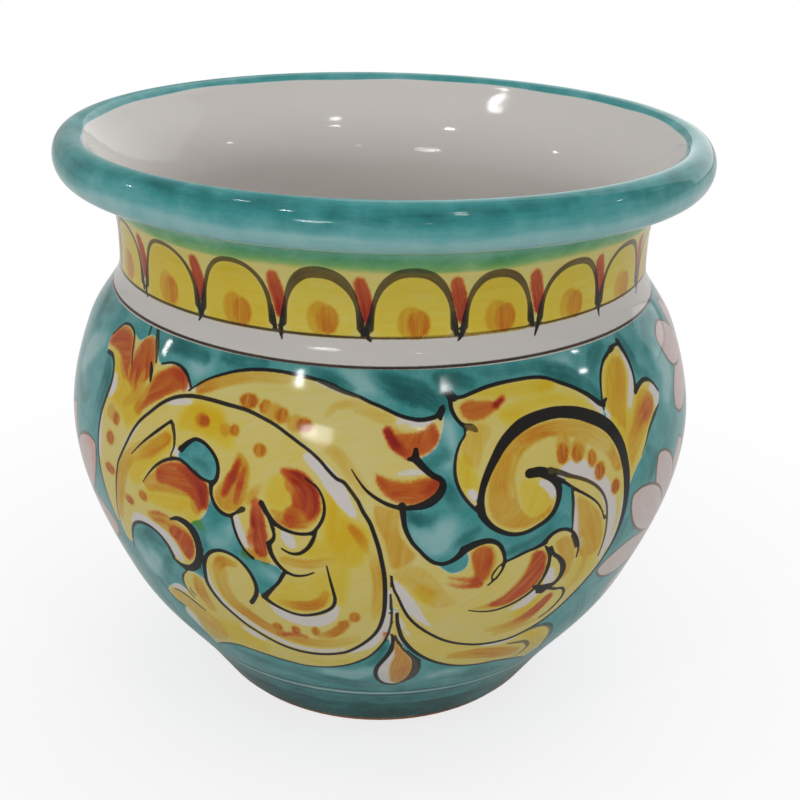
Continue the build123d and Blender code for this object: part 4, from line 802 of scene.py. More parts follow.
class Painting:
    """Brushwork on scattered points (u, s). For each pigment it keeps the signed distance to the edge
    of its strokes, negative inside, and its load there; and for all of them the direction of the last
    stroke, as lengths along and across it."""

    def __init__(self, u, s, period):
        self.q = np.stack([u, s], 1)
        self.period = period
        self.edge = {p: np.full(len(u), FAR) for p in PIGMENTS}
        self.load = {p: np.zeros(len(u)) for p in PIGMENTS}
        round_pot = 2 * math.pi * u / period
        ripple = sum(high * np.sin(waves * round_pot + phase) for high, waves, phase in RIPPLES)
        self.flow = np.stack([np.abs(u), s + ripple], 1)
        self.marks = 0

    def _near(self, low, high):
        """Indices of the points inside a box."""
        return np.flatnonzero(((self.q > low) & (self.q < high)).all(1))

    def _to_path(self, path, half):
        """Distance from a path less its half width there, and the lengths along and across it, for the
        points that lie within FAR of it."""
        lengths = np.concatenate([[0], np.cumsum(np.hypot(*np.diff(path, axis=0).T))])
        best = np.full(len(self.q), np.inf)
        along, across = np.zeros(len(self.q)), np.zeros(len(self.q))
        for a in range(0, len(path) - 1, BLOCK):
            b = a + BLOCK + 1
            seg, w, at = path[a:b], half[a:b], lengths[a:b]
            reach = FAR + w.max()
            which = self._near(seg.min(0) - reach, seg.max(0) + reach)
            if not len(which):
                continue
            d = np.diff(seg, axis=0)
            size = np.maximum((d**2).sum(1), 1e-9)
            rel = self.q[which][:, None] - seg[:-1]
            t = np.clip((rel * d).sum(2) / size, 0, 1)
            off = rel - t[..., None] * d
            distance = np.hypot(off[..., 0], off[..., 1]) - (w[:-1] + t * np.diff(w))
            k = distance.argmin(1)
            row = np.arange(len(which))
            value = distance[row, k]
            closer = value < best[which]
            hit, k, row = which[closer], k[closer], row[closer]
            best[hit] = value[closer]
            along[hit] = at[:-1][k] + t[row, k] * np.diff(at)[k]
            side = d[k, 0] * off[row, k, 1] - d[k, 1] * off[row, k, 0]
            across[hit] = np.sign(side) * (value[closer] + w[:-1][k])
        which = np.flatnonzero(best < FAR)
        return which, best[which], along[which] / max(lengths[-1], 1e-6), along[which], across[which]

    def _inside(self, outline):
        """Signed distance to a closed outline, negative inside, found by counting crossings."""
        ring = np.vstack([outline, outline[:1]])
        which = self._near(ring.min(0) - FAR, ring.max(0) + FAR)
        q = self.q[which]
        inside = np.zeros(len(which), bool)
        for a in range(0, len(ring) - 1, BLOCK):
            p1 = ring[a + 1 : a + 1 + BLOCK]
            p0 = ring[a : a + len(p1)]
            crosses = (p0[:, 1] > q[:, 1:]) != (p1[:, 1] > q[:, 1:])
            rise = np.where(p1[:, 1] == p0[:, 1], 1e-9, p1[:, 1] - p0[:, 1])
            at = p0[:, 0] + (q[:, 1:] - p0[:, 1]) * (p1[:, 0] - p0[:, 0]) / rise
            inside ^= (crosses & (q[:, :1] < at)).sum(1) % 2 == 1
        distance = np.full(len(self.q), FAR)
        near, value = self._to_path(ring, np.zeros(len(ring)))[:2]
        distance[near] = np.minimum(value, FAR)
        distance = distance[which]
        return which, np.where(inside, -distance, distance)

    def _images(self, path):
        """The path itself and its repeats to both sides, where these reach the points."""
        low, high = self.q[:, 0].min() - FAR, self.q[:, 0].max() + FAR
        for shift in (-self.period, 0, self.period):
            moved = path + (shift, 0)
            if moved[:, 0].max() > low and moved[:, 0].min() < high:
                yield moved, shift

    def _lay(self, pigment, which, distance, load, along, across, blend):
        """Lays a mark on points: its edge joins the older ones, its load blends into theirs across its
        edge, and its direction replaces theirs."""
        edge, old = self.edge[pigment][which], self.load[pigment][which]
        share = np.clip(0.5 - distance / blend, 0, 1)
        fresh = (edge > 0) & (distance < edge)
        self.load[pigment][which] = np.where(fresh, load, old + (load - old) * share)
        self.edge[pigment][which] = np.minimum(edge, distance)
        mark = distance < MARK_REACH
        shift = (self.marks * MARK_SHIFT) % MARK_CYCLE
        self.flow[which[mark]] = np.stack([along[mark] + shift, across[mark] + shift], 1)

    def _keep_off(self, pigments, which, distance):
        """Moves the pigments' edges on points out to a distance."""
        for p in pigments:
            self.edge[p][which] = np.maximum(self.edge[p][which], distance)

    def cover(self, pigment, load):
        """A coat of a pigment over everything."""
        self.edge[pigment][:] = -FAR
        self.load[pigment][:] = load

    def stroke(self, pigment, loads, widths, points, blend=1.4):
        """A brush drawn along a path, with a load and a width that change on the way."""
        self.marks += 1
        for path, _ in self._images(smooth_curve(points, STROKE_STEP)):
            half = spread(widths, np.linspace(0, 1, len(path))) / 2
            which, distance, share, along, across = self._to_path(path, half)
            self._lay(pigment, which, distance, spread(loads, share), along, across, blend)

    def wash(self, pigment, load, grain, points, inset=0.3, blend=3.0):
        """A flat wash inside a closed outline, brushed in the direction of the grain."""
        self.marks += 1
        c, n = math.cos(math.radians(grain)), math.sin(math.radians(grain))
        for outline, shift in self._images(smooth_curve(points, OUTLINE_STEP, closed=True)):
            which, distance = self._inside(outline)
            u, s = (self.q[which] - (shift, 0)).T
            self._lay(pigment, which, distance + inset, load, u * c + s * n, s * c - u * n, blend)

    def leave(self, pigments, widths, points):
        """A stroke along a path that the pigments leave bare."""
        for path, _ in self._images(smooth_curve(points, STROKE_STEP)):
            which, distance = self._to_path(path, spread(widths, np.linspace(0, 1, len(path))) / 2)[:2]
            self._keep_off(pigments, which, -distance)

    def reserve(self, pigments, points, gap=0.0):
        """A closed outline that the pigments stop short of."""
        for outline, _ in self._images(smooth_curve(points, OUTLINE_STEP, closed=True)):
            which, distance = self._inside(outline)
            self._keep_off(pigments, which, gap - distance)

    def touch(self, u, s, wide, high, halo, load=0.92):
        """A round touch of orange with the paler one beside it that it was laid on."""
        ring = oval(wide, high, 12)
        if any(halo):
            self.wash("ochre", HALO_LOAD, 90, ring * HALO_GROWTH + (u + halo[0], s + halo[1]), inset=0)
        self.wash("ochre", load, 90, ring + (u, s), inset=0, blend=1.2)

    def ink_line(self, distance, load):
        """A drawn line, given by the distance of each point to its edge."""
        hit = distance < self.edge["ink"]
        self.edge["ink"][hit] = distance[hit]
        self.load["ink"][hit] = load

    def write(self, mesh):
        """Puts the brushwork on a mesh as four colour attributes of four numbers each."""
        rows = []
        for p in PIGMENTS:
            rows += [self.edge[p], self.load[p]]
        rows += list(self.flow.T)
        for k in range(4):
            layer = mesh.color_attributes.new("paint_%d" % (k + 1), "FLOAT_COLOR", "POINT")
            layer.data.foreach_set("color", np.stack(rows[4 * k : 4 * k + 4], 1).astype(np.float32).ravel())


# Meshes. A drawn sheet follows its rails, which are the middles of its drawn lines, up to RAIL_MARGIN
# from its border. A row of points runs SIDE_OFFSET to either side of a rail, thinned to SIDE_SPACING, and
# the grid keeps GRID_CLEARANCE from both.
RAIL_MARGIN = 0.5
SIDE_OFFSET = 1.15
SIDE_MARGIN = 0.4
SIDE_SPACING = 0.7
GRID_CLEARANCE = 0.5
MERGE_DISTANCE = 1e-4

# More cells than any row of a sheet has
CELLS_IN_ROW = 4096


def link(name, data):
    """An object in the scene."""
    made = bpy.data.objects.new(name, data)
    bpy.context.scene.collection.objects.link(made)
    return made


def finish_piece(name, painting, co, normals, faces, replaced, slot, material):
    """Makes a piece of the pot from places, normals and faces: it carries the brushwork, is smooth by
    its exact normals, rides on the body and stands for one CAD node."""
    mesh = bpy.data.meshes.new(name)
    mesh.from_pydata(co.tolist(), [], faces.tolist() if isinstance(faces, np.ndarray) else faces)
    painting.write(mesh)
    mesh.polygons.foreach_set("use_smooth", np.ones(len(mesh.polygons), bool))
    mesh.materials.append(material)
    mesh.validate()
    mesh.normals_split_custom_set_from_vertices(normals)
    piece = link(name, mesh)
    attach(piece, "root")
    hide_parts(replaced)


def rail_points(paths, low, high):
    """Points and edges along the middle of every drawn line, for the mesh to follow."""
    points, edges = [], []
    for path in paths:
        inside = (path > low).all(1) & (path < high).all(1)
        index = np.cumsum(inside) - 1 + sum(len(p) for p in points)
        joined = inside[:-1] & inside[1:]
        edges.append(np.stack([index[:-1][joined], index[1:][joined]], 1))
        points.append(path[inside])
    return np.vstack(points), np.vstack(edges)


def drawn_sheet(u_range, s_range, step, paths):
    """Triangles over a rectangle of (u, s): a grid of staggered points with those too near a drawn
    line left out, joined with the lines' own points by a constrained Delaunay triangulation."""
    low, high = np.array([u_range[0], s_range[0]]), np.array([u_range[1], s_range[1]])
    columns = int(round((high[0] - low[0]) / step))
    rows = int(round((high[1] - low[1]) / step))
    s_row = np.linspace(low[1], high[1], rows + 1)
    u_row = np.linspace(low[0], high[0], columns + 1)
    grid_u, grid_s = np.meshgrid(u_row, s_row)
    shift = (high[0] - low[0]) / columns / 2 * (np.arange(rows + 1) % 2)
    grid_u[:, 1:-1] += (shift - shift.max() / 2)[:, None]
    grid = np.stack([grid_u.ravel(), grid_s.ravel()], 1)
    border = np.zeros(grid_u.shape, bool)
    border[[0, -1], :] = True
    border[:, [0, -1]] = True
    rails, edges = rail_points(paths, low + RAIL_MARGIN, high - RAIL_MARGIN)
    aside = []
    for path in paths:
        ahead = np.gradient(path, axis=0)
        across = np.stack([-ahead[:, 1], ahead[:, 0]], 1) / np.hypot(*ahead.T)[:, None]
        aside += [path + across * SIDE_OFFSET, path - across * SIDE_OFFSET]
    aside = np.vstack(aside)
    aside = aside[((aside > low + SIDE_MARGIN) & (aside < high - SIDE_MARGIN)).all(1)]
    around = np.array([(i, j) for i in (-1, 0, 1) for j in (-1, 0, 1)])

    def cells(points, cell):
        """Numbers of the square cells that points lie in."""
        at = np.floor((points - low) / cell).astype(int)
        return at[..., 0] + at[..., 1] * CELLS_IN_ROW

    def clear_of(points, others, cell):
        """Which points have none of the others in their own cell or the eight around it."""
        taken = (others[:, None] + around * cell).reshape(-1, 2)
        return ~np.isin(cells(points, cell), np.unique(cells(taken, cell)))

    aside = aside[clear_of(aside, rails, SIDE_MARGIN)]
    aside = aside[np.unique(cells(aside, SIDE_SPACING), return_index=True)[1]]
    free = clear_of(grid, np.vstack([rails, aside]), GRID_CLEARANCE)
    grid = grid[free | border.ravel()]
    points = np.vstack([rails, aside, grid])
    verts, _, faces = delaunay_2d_cdt(
        [Vector(p) for p in points.tolist()], [tuple(e) for e in edges.tolist()], [], 0, MERGE_DISTANCE)[:3]
    verts = np.array([tuple(v) for v in verts])
    return verts, np.array(faces)


def lathe_sheet(low, high, size):
    """Quads over the whole turn from one length s to another, in rows and columns of points; the last
    column is joined to the first."""
    rows, columns = size
    u = np.linspace(-HALF_TURN, HALF_TURN, columns, endpoint=False)
    grid_u, grid_s = np.meshgrid(u, np.linspace(low, high, rows))
    row, column = np.meshgrid(np.arange(rows - 1), np.arange(columns), indexing="ij")
    right = (column + 1) % columns
    faces = np.stack([row * columns + column, row * columns + right, (row + 1) * columns + right,
        (row + 1) * columns + column], -1).reshape(-1, 4)
    return np.stack([grid_u.ravel(), grid_s.ravel()], 1), faces


# Materials

# Half width of a pigment's edge in millimetres, how far streaks move it, and how much streaks and
# pooling change its load
EDGES = {
    "teal": (0.4, 0.25, 0.22, 1.0), "deep": (1.4, 1.6, 0.5, 1.2), "yellow": (0.5, 0.6, 0.4, 0.5),
    "ochre": (0.75, 0.9, 0.6, 0.5), "red": (0.8, 0.9, 0.6, 0.5), "pink": (1.1, 1.3, 0.9, 0.6),
    "ink": (0.22, 0.12, 0.2, 0.2),
}

# Streaks of the brush: their length and width in millimetres, the noise's detail, and their weight
BROAD_STREAK = (18, 1.9, 2, 1.5)
THIN_STREAK = (10, 0.6, 1, 0.6)

# Scales, per metre, of the noises in which the pigment pools, its edge wanders and the glaze waves
POOL_SCALE = 90
WANDER_SCALE = 900
WAVE_SCALE = 75

# Depth in metres of the glaze's waves, and its index of refraction
GLAZE_RELIEF = 0.0008
GLAZE_IOR = 1.36

# Bare clay: the scale of its speckle per metre; where on the ramp its dark and pale specks stand, with
# their shares of its colour; its turning marks in radians of a sine per metre of radius, with their weight
# against the speckle; and the depth of both in metres
SPECKLE_SCALE = 700
SPECKS = ((0.3, 0.72), (0.7, 1.15))
TURNING_RATE = 2600
TURNING_WEIGHT = 0.35
CLAY_RELIEF = 0.0003


def nodes_of(tree):
    """Short ways to add nodes to a tree and link what they take, and to add a noise."""
    def add(kind, inputs=(), **settings):
        node = tree.nodes.new(kind)
        for key, value in settings.items():
            setattr(node, key, value)
        for key, value in dict(inputs).items():
            if isinstance(value, bpy.types.NodeSocket):
                tree.links.new(value, node.inputs[key])
            else:
                node.inputs[key].default_value = value
        return node

    def calc(operation, *values, clamp=False):
        return add("ShaderNodeMath", enumerate(values), operation=operation, use_clamp=clamp).outputs[0]

    def noise(place, scale, detail):
        return add("ShaderNodeTexNoise", {"Vector": place, "Scale": scale, "Detail": detail}).outputs[0]

    return add, calc, noise


def ramp_of(add, value, stops):
    """Colour of a value by a ramp, whose stops are each a place and a linear colour."""
    node = add("ShaderNodeValToRGB", {0: value})
    elements = node.color_ramp.elements
    while len(elements) < len(stops):
        elements.new(0.5)
    for element, (at, colour) in zip(elements, stops):
        element.position = at
        element.color = (*colour, 1)
    return node.outputs[0]


# Colours of a pigment on white glaze by load, relative to the white, linear
RAMPS = {
    "teal": ((0, (1, 1, 1)), (0.25, (0.42, 0.8, 0.84)), (0.45, (0.2, 0.62, 0.66)),
        (0.7, (0.06, 0.43, 0.45)), (1, (0.012, 0.22, 0.23))),
    "deep": ((0, (1, 1, 1)), (0.5, (0.33, 0.6, 0.59)), (1, (0.06, 0.32, 0.31))),
    "yellow": ((0, (1, 1, 1)), (0.3, (1, 0.93, 0.41)), (0.6, (1, 0.83, 0.1)), (1, (0.98, 0.68, 0.01))),
    "ochre": ((0, (1, 1, 1)), (0.3, (0.95, 0.82, 0.5)), (0.6, (0.88, 0.58, 0.16)),
        (0.8, (0.82, 0.38, 0.06)), (1, (0.66, 0.19, 0.03))),
    "red": ((0, (1, 1, 1)), (0.3, (0.9, 0.48, 0.31)), (0.6, (0.79, 0.19, 0.12)), (1, (0.45, 0.02, 0.022))),
    "pink": ((0, (1, 1, 1)), (0.4, (0.93, 0.76, 0.76)), (1, (0.98, 0.52, 0.42))),
    "ink": ((0, (1, 1, 1)), (0.4, (0.46, 0.38, 0.3)), (0.7, (0.13, 0.11, 0.09)), (0.88, (0.01, 0.01, 0.015))),
}


def brushwork_group():
    """Node group that turns the brushwork attributes into a colour: for each pigment the edge
    distance, moved by streaks and smoothed, gives its cover, cover times load picks its tint, and
    the tints multiply over the white glaze. Height is the glaze's slight unevenness."""
    tree = bpy.data.node_groups.new("Brushwork under glaze", "ShaderNodeTree")
    face = tree.interface
    socket = face.new_socket("White", in_out="INPUT", socket_type="NodeSocketColor")
    socket.default_value = (0.6, 0.58, 0.55, 1)
    face.new_socket("Color", in_out="OUTPUT", socket_type="NodeSocketColor")
    face.new_socket("Height", in_out="OUTPUT", socket_type="NodeSocketFloat")
    add, calc, noise = nodes_of(tree)
    given = add("NodeGroupInput")
    made = add("NodeGroupOutput")
    values = []
    for k in range(4):
        attribute = add("ShaderNodeAttribute", attribute_name="paint_%d" % (k + 1))
        parts = add("ShaderNodeSeparateColor", {0: attribute.outputs["Color"]})
        values += [*parts.outputs, attribute.outputs["Alpha"]]
    along, across = values[14], values[15]
    place = add("ShaderNodeTexCoord").outputs["Object"]

    def streaks(length, width, detail, weight):
        at = add("ShaderNodeCombineXYZ",
            {0: calc("MULTIPLY", along, 1 / length), 1: calc("MULTIPLY", across, 1 / width)})
        return calc("MULTIPLY", noise(at.outputs[0], 1, detail), weight)

    middle = (BROAD_STREAK[-1] + THIN_STREAK[-1]) / 2
    streak = calc("SUBTRACT", calc("ADD", streaks(*BROAD_STREAK), streaks(*THIN_STREAK)), middle)
    pooled = calc("SUBTRACT", noise(place, POOL_SCALE, 3), 0.5)
    wander = calc("SUBTRACT", noise(place, WANDER_SCALE, 1), 0.5)
    colour = given.outputs["White"]
    for k, pigment in enumerate(PIGMENTS):
        soft, moved, streaked, uneven = EDGES[pigment]
        edge, load = values[2 * k], values[2 * k + 1]
        push = calc("ADD", calc("MULTIPLY", streak, moved), calc("MULTIPLY", wander, moved))
        cover = add("ShaderNodeMapRange", {0: calc("ADD", edge, push), 1: soft, 2: -soft, 3: 0, 4: 1},
            interpolation_type="SMOOTHSTEP")
        change = calc("ADD", calc("MULTIPLY", streak, streaked), calc("MULTIPLY", pooled, uneven))
        amount = calc("MULTIPLY", load, calc("ADD", 1, change))
        amount = calc("MULTIPLY", amount, cover.outputs[0], clamp=True)
        tint = ramp_of(add, amount, RAMPS[pigment])
        mixed = add("ShaderNodeMix", {0: 1.0, 6: colour, 7: tint}, data_type="RGBA", blend_type="MULTIPLY")
        colour = mixed.outputs[2]
    tree.links.new(colour, made.inputs["Color"])
    tree.links.new(noise(place, WAVE_SCALE, 1), made.inputs["Height"])
    return tree


def new_material(name):
    """A material with nodes, its tree and its Principled shader."""
    material = bpy.data.materials.new(name)
    material.use_nodes = True
    return material, material.node_tree, material.node_tree.nodes["Principled BSDF"]


def painted_glaze(name, settings, white=None):
    """Clear gloss over brushwork on white tin glaze."""
    found = bpy.data.materials.get(name)
    if found:
        return found
    group = bpy.data.node_groups.get("Brushwork under glaze") or brushwork_group()
    material, tree, shader = new_material(name)
    add = nodes_of(tree)[0]
    brushwork = add("ShaderNodeGroup", node_tree=group)
    brushwork.inputs["White"].default_value = (*(white or settings.white), 1)
    bump = add("ShaderNodeBump",
        {"Height": brushwork.outputs["Height"], "Strength": 0.2, "Distance": GLAZE_RELIEF})
    tree.links.new(brushwork.outputs["Color"], shader.inputs["Base Color"])
    tree.links.new(bump.outputs[0], shader.inputs["Normal"])
    shader.inputs["Roughness"].default_value = settings.roughness
    shader.inputs["IOR"].default_value = GLAZE_IOR
    return material


def terracotta(settings):
    """Bare fired clay with fine speckle and turning marks."""
    material, tree, shader = new_material("Terracotta")
    add, calc, noise = nodes_of(tree)
    place = add("ShaderNodeTexCoord").outputs["Object"]
    speckle = noise(place, SPECKLE_SCALE, 4)
    colour = ramp_of(add, speckle, [(at, [min(1, c * share) for c in settings.clay]) for at, share in SPECKS])
    parts = add("ShaderNodeSeparateXYZ", {0: place})
    radius = calc("SQRT", calc("ADD", calc("POWER", parts.outputs[0], 2), calc("POWER", parts.outputs[1], 2)))
    rings = calc("SINE", calc("MULTIPLY", radius, TURNING_RATE))
    height = calc("ADD", calc("MULTIPLY", rings, TURNING_WEIGHT), speckle)
    bump = add("ShaderNodeBump", {"Height": height, "Strength": 0.3, "Distance": CLAY_RELIEF})
    tree.links.new(colour, shader.inputs["Base Color"])
    tree.links.new(bump.outputs[0], shader.inputs["Normal"])
    shader.inputs["Roughness"].default_value = 0.85
    return material


# Settings

class CachepotGlaze(bpy.types.PropertyGroup):
    """Colours and gloss of the glazes and the clay"""
    white: bpy.props.FloatVectorProperty(
        name="White glaze", description="Colour of the bare tin glaze", subtype="COLOR", size=3,
        min=0, max=1, default=(0.645, 0.6, 0.565))
    # Painted light: a brighter copy of the white glaze, used inside, on the neck and on the rim, that offsets
    # the shade under the rim and within the walls
    shade_lifted_white: bpy.props.FloatVectorProperty(
        name="White glaze lifted against shade", description="Colour of the glaze inside and under the rim",
        subtype="COLOR", size=3, min=0, max=1, default=(0.7, 0.665, 0.63))
    clay: bpy.props.FloatVectorProperty(
        name="Clay", description="Colour of the bare fired clay", subtype="COLOR", size=3,
        min=0, max=1, default=(0.44, 0.19, 0.1))
    roughness: bpy.props.FloatProperty(
        name="Roughness", description="Roughness of the clear gloss", min=0, max=1, default=0.085)
    mesh_step: bpy.props.FloatProperty(
        name="Point spacing", description="Spacing of the points that carry the brushwork",
        subtype="DISTANCE", unit="LENGTH", min=0.0005, max=0.01, default=0.0011)


class CachepotStudio(bpy.types.PropertyGroup):
    """Light of the studio"""
    backdrop: bpy.props.FloatVectorProperty(
        name="Backdrop", description="Colour of the floor and the room", subtype="COLOR", size=3,
        min=0, max=1, default=(1, 1, 1))
    floor: bpy.props.FloatProperty(
        name="Floor", description="How much light the floor gives back", min=0, max=1, default=0.8)
    room: bpy.props.FloatProperty(
        name="Room light", description="Strength of the light from all sides", min=0, max=2, default=0.535)


# Pieces

# Share of their written width that the thinnest lines are drawn in, and the width that is drawn in full
THIN_SHARE = 0.7
FULL_WIDTH = 3.6

# Softness of the ground's clouds in millimetres, and the share of their written load that is laid
GROUND_BLEND = 4
GROUND_SHARE = 0.82

# Half width of a flower's yellow heart, and the size of the orange touch in it against that
HEART = 6.5
HEART_SHARE = 0.6

# Shares of a petal's length at which its outline has points
PETAL_SHARES = (0.1, 0.22, 0.36, 0.5, 0.64, 0.77, 0.88, 0.96, 1.0)

# Lines above the foot: length s, width and load, and the pale line between them
FOOT_LINES = ((36.6, 1.1, 0.55), (31.2, 1.3, 0.5))
PALE_LINE = 33.7

# Rows and columns of the turned sheets
BAND_GRID = (21, 900)
RIM_GRID = (64, 640)
INSIDE_GRID = (120, 360)
FOOT_GRID = (16, 480)

# The rim from its underside over the crest: lengths s, and the load of teal there, which is laid thinner on
# the roll's lower face, partly thinner teal and partly a painted reflection of the pale room
RIM_LEVELS = (226, 231, 237, 241, 249.5, 251.5, 255, 259, 264, 267)
RIM_TEAL_AND_REFLECTION = (0.42, 0.28, 0.27, 0.35, 0.3, 0.5, 0.66, 0.84, 0.6, 0.64)

# Millimetres that the rim's first row starts below the neck's border, that it is sunk there, and that
# the rim's colour reaches past the crest; and the share of its radius that the foot's lowest row draws in
RIM_OVERLAP = 0.6
RIM_SINK = 0.2
RIM_COLOUR_END = 5.4
FOOT_TUCK_SHARE = 0.01


def fine(widths):
    """Widths of drawn lines, with the thin ones drawn finer in proportion."""
    return tuple(w * (THIN_SHARE + (1 - THIN_SHARE) * min(1, w / FULL_WIDTH)) for w in widths)


def belly_paths():
    """Smoothed middles of the belly's drawn lines, with their repeats half a turn to either side."""
    paths = [smooth_curve(points, RAIL_STEP) for _, _, points in INK]
    paths += [smooth_curve(petal_outline(centre, *petal), 1.1, closed=True)
        for centre, petals in FLOWERS for petal in petals]
    return [path + (shift, 0) for path in paths for shift in (-HALF_TURN, 0, HALF_TURN)]


def petal_outline(centre, direction, length, width):
    """A petal from its flower's centre: the half width grows as a sine of a power of the share of the
    length, and closes in a round tip."""
    t = np.array(PETAL_SHARES)
    half = width / 2 * np.sin(np.pi * t**1.7) ** 0.62
    half[-1] = 0
    side = np.concatenate([half, -half[-2::-1]])
    out = np.concatenate([t, t[-2::-1]]) * length
    a = math.radians(direction)
    return np.stack([centre[0] + out * math.cos(a) - side * math.sin(a),
        centre[1] + out * math.sin(a) + side * math.cos(a)], 1)


def paint_flowers(painting):
    """White flowers with pink petals and a yellow heart, drawn with a thin grey line."""
    for (centre, petals), blush in zip(FLOWERS, (0.4, 1.0, 0.7)):
        middle = np.array(centre, float)
        for petal in reversed(petals):
            outline = petal_outline(centre, *petal)
            painting.reserve(("teal", "deep"), outline, gap=0.4)
            painting.wash("pink", 0.2 + 0.25 * blush, petal[0], outline, inset=0.6)
            direction, length, width = petal
            a = math.radians(direction)
            ahead, aside = np.array([math.cos(a), math.sin(a)]), np.array([-math.sin(a), math.cos(a)])
            for offset, reach in ((-0.2, 0.75), (0.22, 0.68)):
                start = middle + ahead * length * 0.25
                end = middle + ahead * length * reach + aside * offset * width
                painting.stroke("pink", (0.75, 0.55, 0.3), (2.4, 3, 1), (start, (start + end) / 2, end))
            rim = (outline[4:-4] - middle) * 0.95 + middle
            wide = np.array((1.5, 2.6, 3, 2.6, 1.5)) * (0.8 + 0.6 * blush)
            painting.stroke("pink", np.array((0.4, 0.72, 0.8, 0.72, 0.4)) * blush, wide, rim)
        ring = oval(HEART, HEART, 10)
        painting.reserve(("teal", "deep", "pink"), ring * 1.1 + middle)
        painting.wash("yellow", 0.9, 0, ring + middle, inset=0)
        painting.wash("ochre", 0.8, 0, ring * HEART_SHARE + middle + (0.6, -0.8), inset=0)
        for petal in reversed(petals):
            outline = petal_outline(centre, *petal)
            painting.reserve(("ink",), outline)
            painting.stroke("ink", (0.3, 0.58, 0.6, 0.5, 0.3), (0.5, 1.1, 1.2, 1, 0.5), outline)
        painting.stroke("ink", (0.5,), (0.9,), np.vstack([ring, ring[:1]]) + middle)


def paint_foot_lines(painting):
    """Pale line between two dark ones that run round above the foot."""
    u, s = painting.q.T
    sway = 0.25 * np.sin(4 * math.pi * u / painting.period)
    for level, width, load in FOOT_LINES:
        paint_level_line(painting, level, width, load)
    pale = np.abs(s - PALE_LINE - sway) - 0.9
    for p in ("teal", "deep"):
        painting.load[p] *= 1 - 0.82 * np.clip(0.5 - pale / 0.7, 0, 1)


def paint_belly(painting):
    """Clouded ground that darkens towards the foot, then the scrollwork from its washes to its outlines,
    and the flowers."""
    painting.cover("teal", 0.63)
    for pigment, rows in (("deep", GROUND_DARKS), ("teal", GROUND_LIGHTS)):
        for loads, widths, path in rows:
            painting.stroke(pigment, np.array(loads) * GROUND_SHARE, widths, path, blend=GROUND_BLEND)
    painting.load["teal"] += 0.25 * np.clip((44 - painting.q[:, 1]) / 20, 0, 1)
    for outline in RESERVES:
        painting.reserve(("teal", "deep"), outline)
    for row in YELLOW_WASHES:
        painting.wash("yellow", *row)
    for widths, path in LIGHTS:
        painting.leave(("yellow",), widths, path)
    for pigment, rows in (("ochre", OCHRE_WASHES), ("red", RED_WASHES)):
        for row in rows:
            painting.wash(pigment, *row)
    for pigment, loads, widths, path in STROKES:
        painting.stroke(pigment, loads, widths, path)
    for u, s, wide, high, du, ds in DOTS:
        painting.touch(u, s, wide, high, (du, ds))
    paint_flowers(painting)
    paint_foot_lines(painting)
    for load, widths, path in INK:
        painting.stroke("ink", (load,), fine(widths), path, blend=0.6)
    paint_level_line(painting, BAND_LINE, 1.0)


def paint_level_line(painting, s, width, load=0.8):
    """A line round the pot that sways in four waves a turn."""
    sway = 0.2 * np.sin(8 * math.pi * painting.q[:, 0] / TURN + s)
    painting.ink_line(np.abs(painting.q[:, 1] - s - sway) - width / 2, load)


class CACHEPOT_OT_belly(bpy.types.Operator):
    """Paints the belly: the scrollwork, on the front and again on the back, with flowers between"""
    bl_idname = "cachepot.belly"
    bl_label = "Painted belly"

    def execute(self, context):
        settings = context.scene.cachepot_glaze
        material = painted_glaze("Painted belly glaze", settings)
        verts, faces = drawn_sheet((-HALF_TURN / 2, HALF_TURN / 2), (FOOT_TOP_S, BELLY_TOP_S),
            settings.mesh_step / MM, belly_paths())
        painting = Painting(*verts.T, HALF_TURN)
        paint_belly(painting)
        for name, turned in (("belly_front", 0.0), ("belly_back", math.pi)):
            finish_piece(name, painting, *on_pot(*verts.T, turned), faces, "belly_glaze", "belly_glaze",
                material)
        return {"FINISHED"}


def paint_neck(painting):
    """Yellow arches with orange touches and red darts between two lines, under a green edge."""
    u, s = painting.q.T
    line = FRIEZE_LINE + np.sin(u / BELLY_RADIUS + 0.3)
    painting.cover("yellow", 0.42 - 0.3 * np.clip((s - 221) / 7, 0, 1))
    painting.edge["teal"] = 219.5 - s
    painting.load["teal"][:] = np.interp(s + 0.7 * np.sin(7 * u / BELLY_RADIUS), (219, 221.5, 224.5, 227.4),
        (0, 0.38, 0.54, 0.4))
    chance = np.random.default_rng(9)
    for left, right, crown, high, ink in all_arches():
        inner = arch_path(left + 1, right - 1, crown, high - 1)
        painting.wash("yellow", chance.uniform(0.6, 0.8), 0, inner, inset=0)
        middle = (left + right) / 2 + chance.uniform(1, 3)
        level = 202 + chance.uniform(-0.5, 0.5)
        painting.touch(middle, level, 4.6, 5.1, (chance.uniform(-4.5, -3), 0.5), 0.76)
        dart = left - 2
        painting.stroke("red", (0.7, 0.82, 1), (5, 6, 5.4, 3.4), ((dart - 2.4, 215.4), (dart - 1.2, 211.5),
            (dart, 207.5), (dart + 0.2, 203.5)))
        painting.stroke("ink", (0.7, 0.66, 0.62, 0.66, 0.7), (2.2, 2, ink * 0.9, ink, ink * 0.9, 2, 2.2),
            arch_path(left, right, crown, high), blend=0.6)
        tail = 194.6 + chance.uniform(-0.8, 1.4)
        painting.stroke("ink", (0.8, 0.95), (1.4, 2.3, 2, 0.8), ((left - 0.1, 205.5), (left - 0.8, 201),
            (left - 1.5, 197.5), (left - 1.5 + chance.uniform(-1.6, 1.6), tail)), blend=0.6)
        painting.stroke("ink", (0.8, 0.92), (1.4, 2.6, 1.8), ((right + 0.1, 205.5), (right + 0.8, 201),
            (right + 1.6, 198)), blend=0.6)
    for pigment in ("yellow", "ochre"):
        painting.edge[pigment] = np.maximum(painting.edge[pigment], line - 0.4 - s)
    painting.ink_line(np.abs(s - line) - 0.5, 0.72)


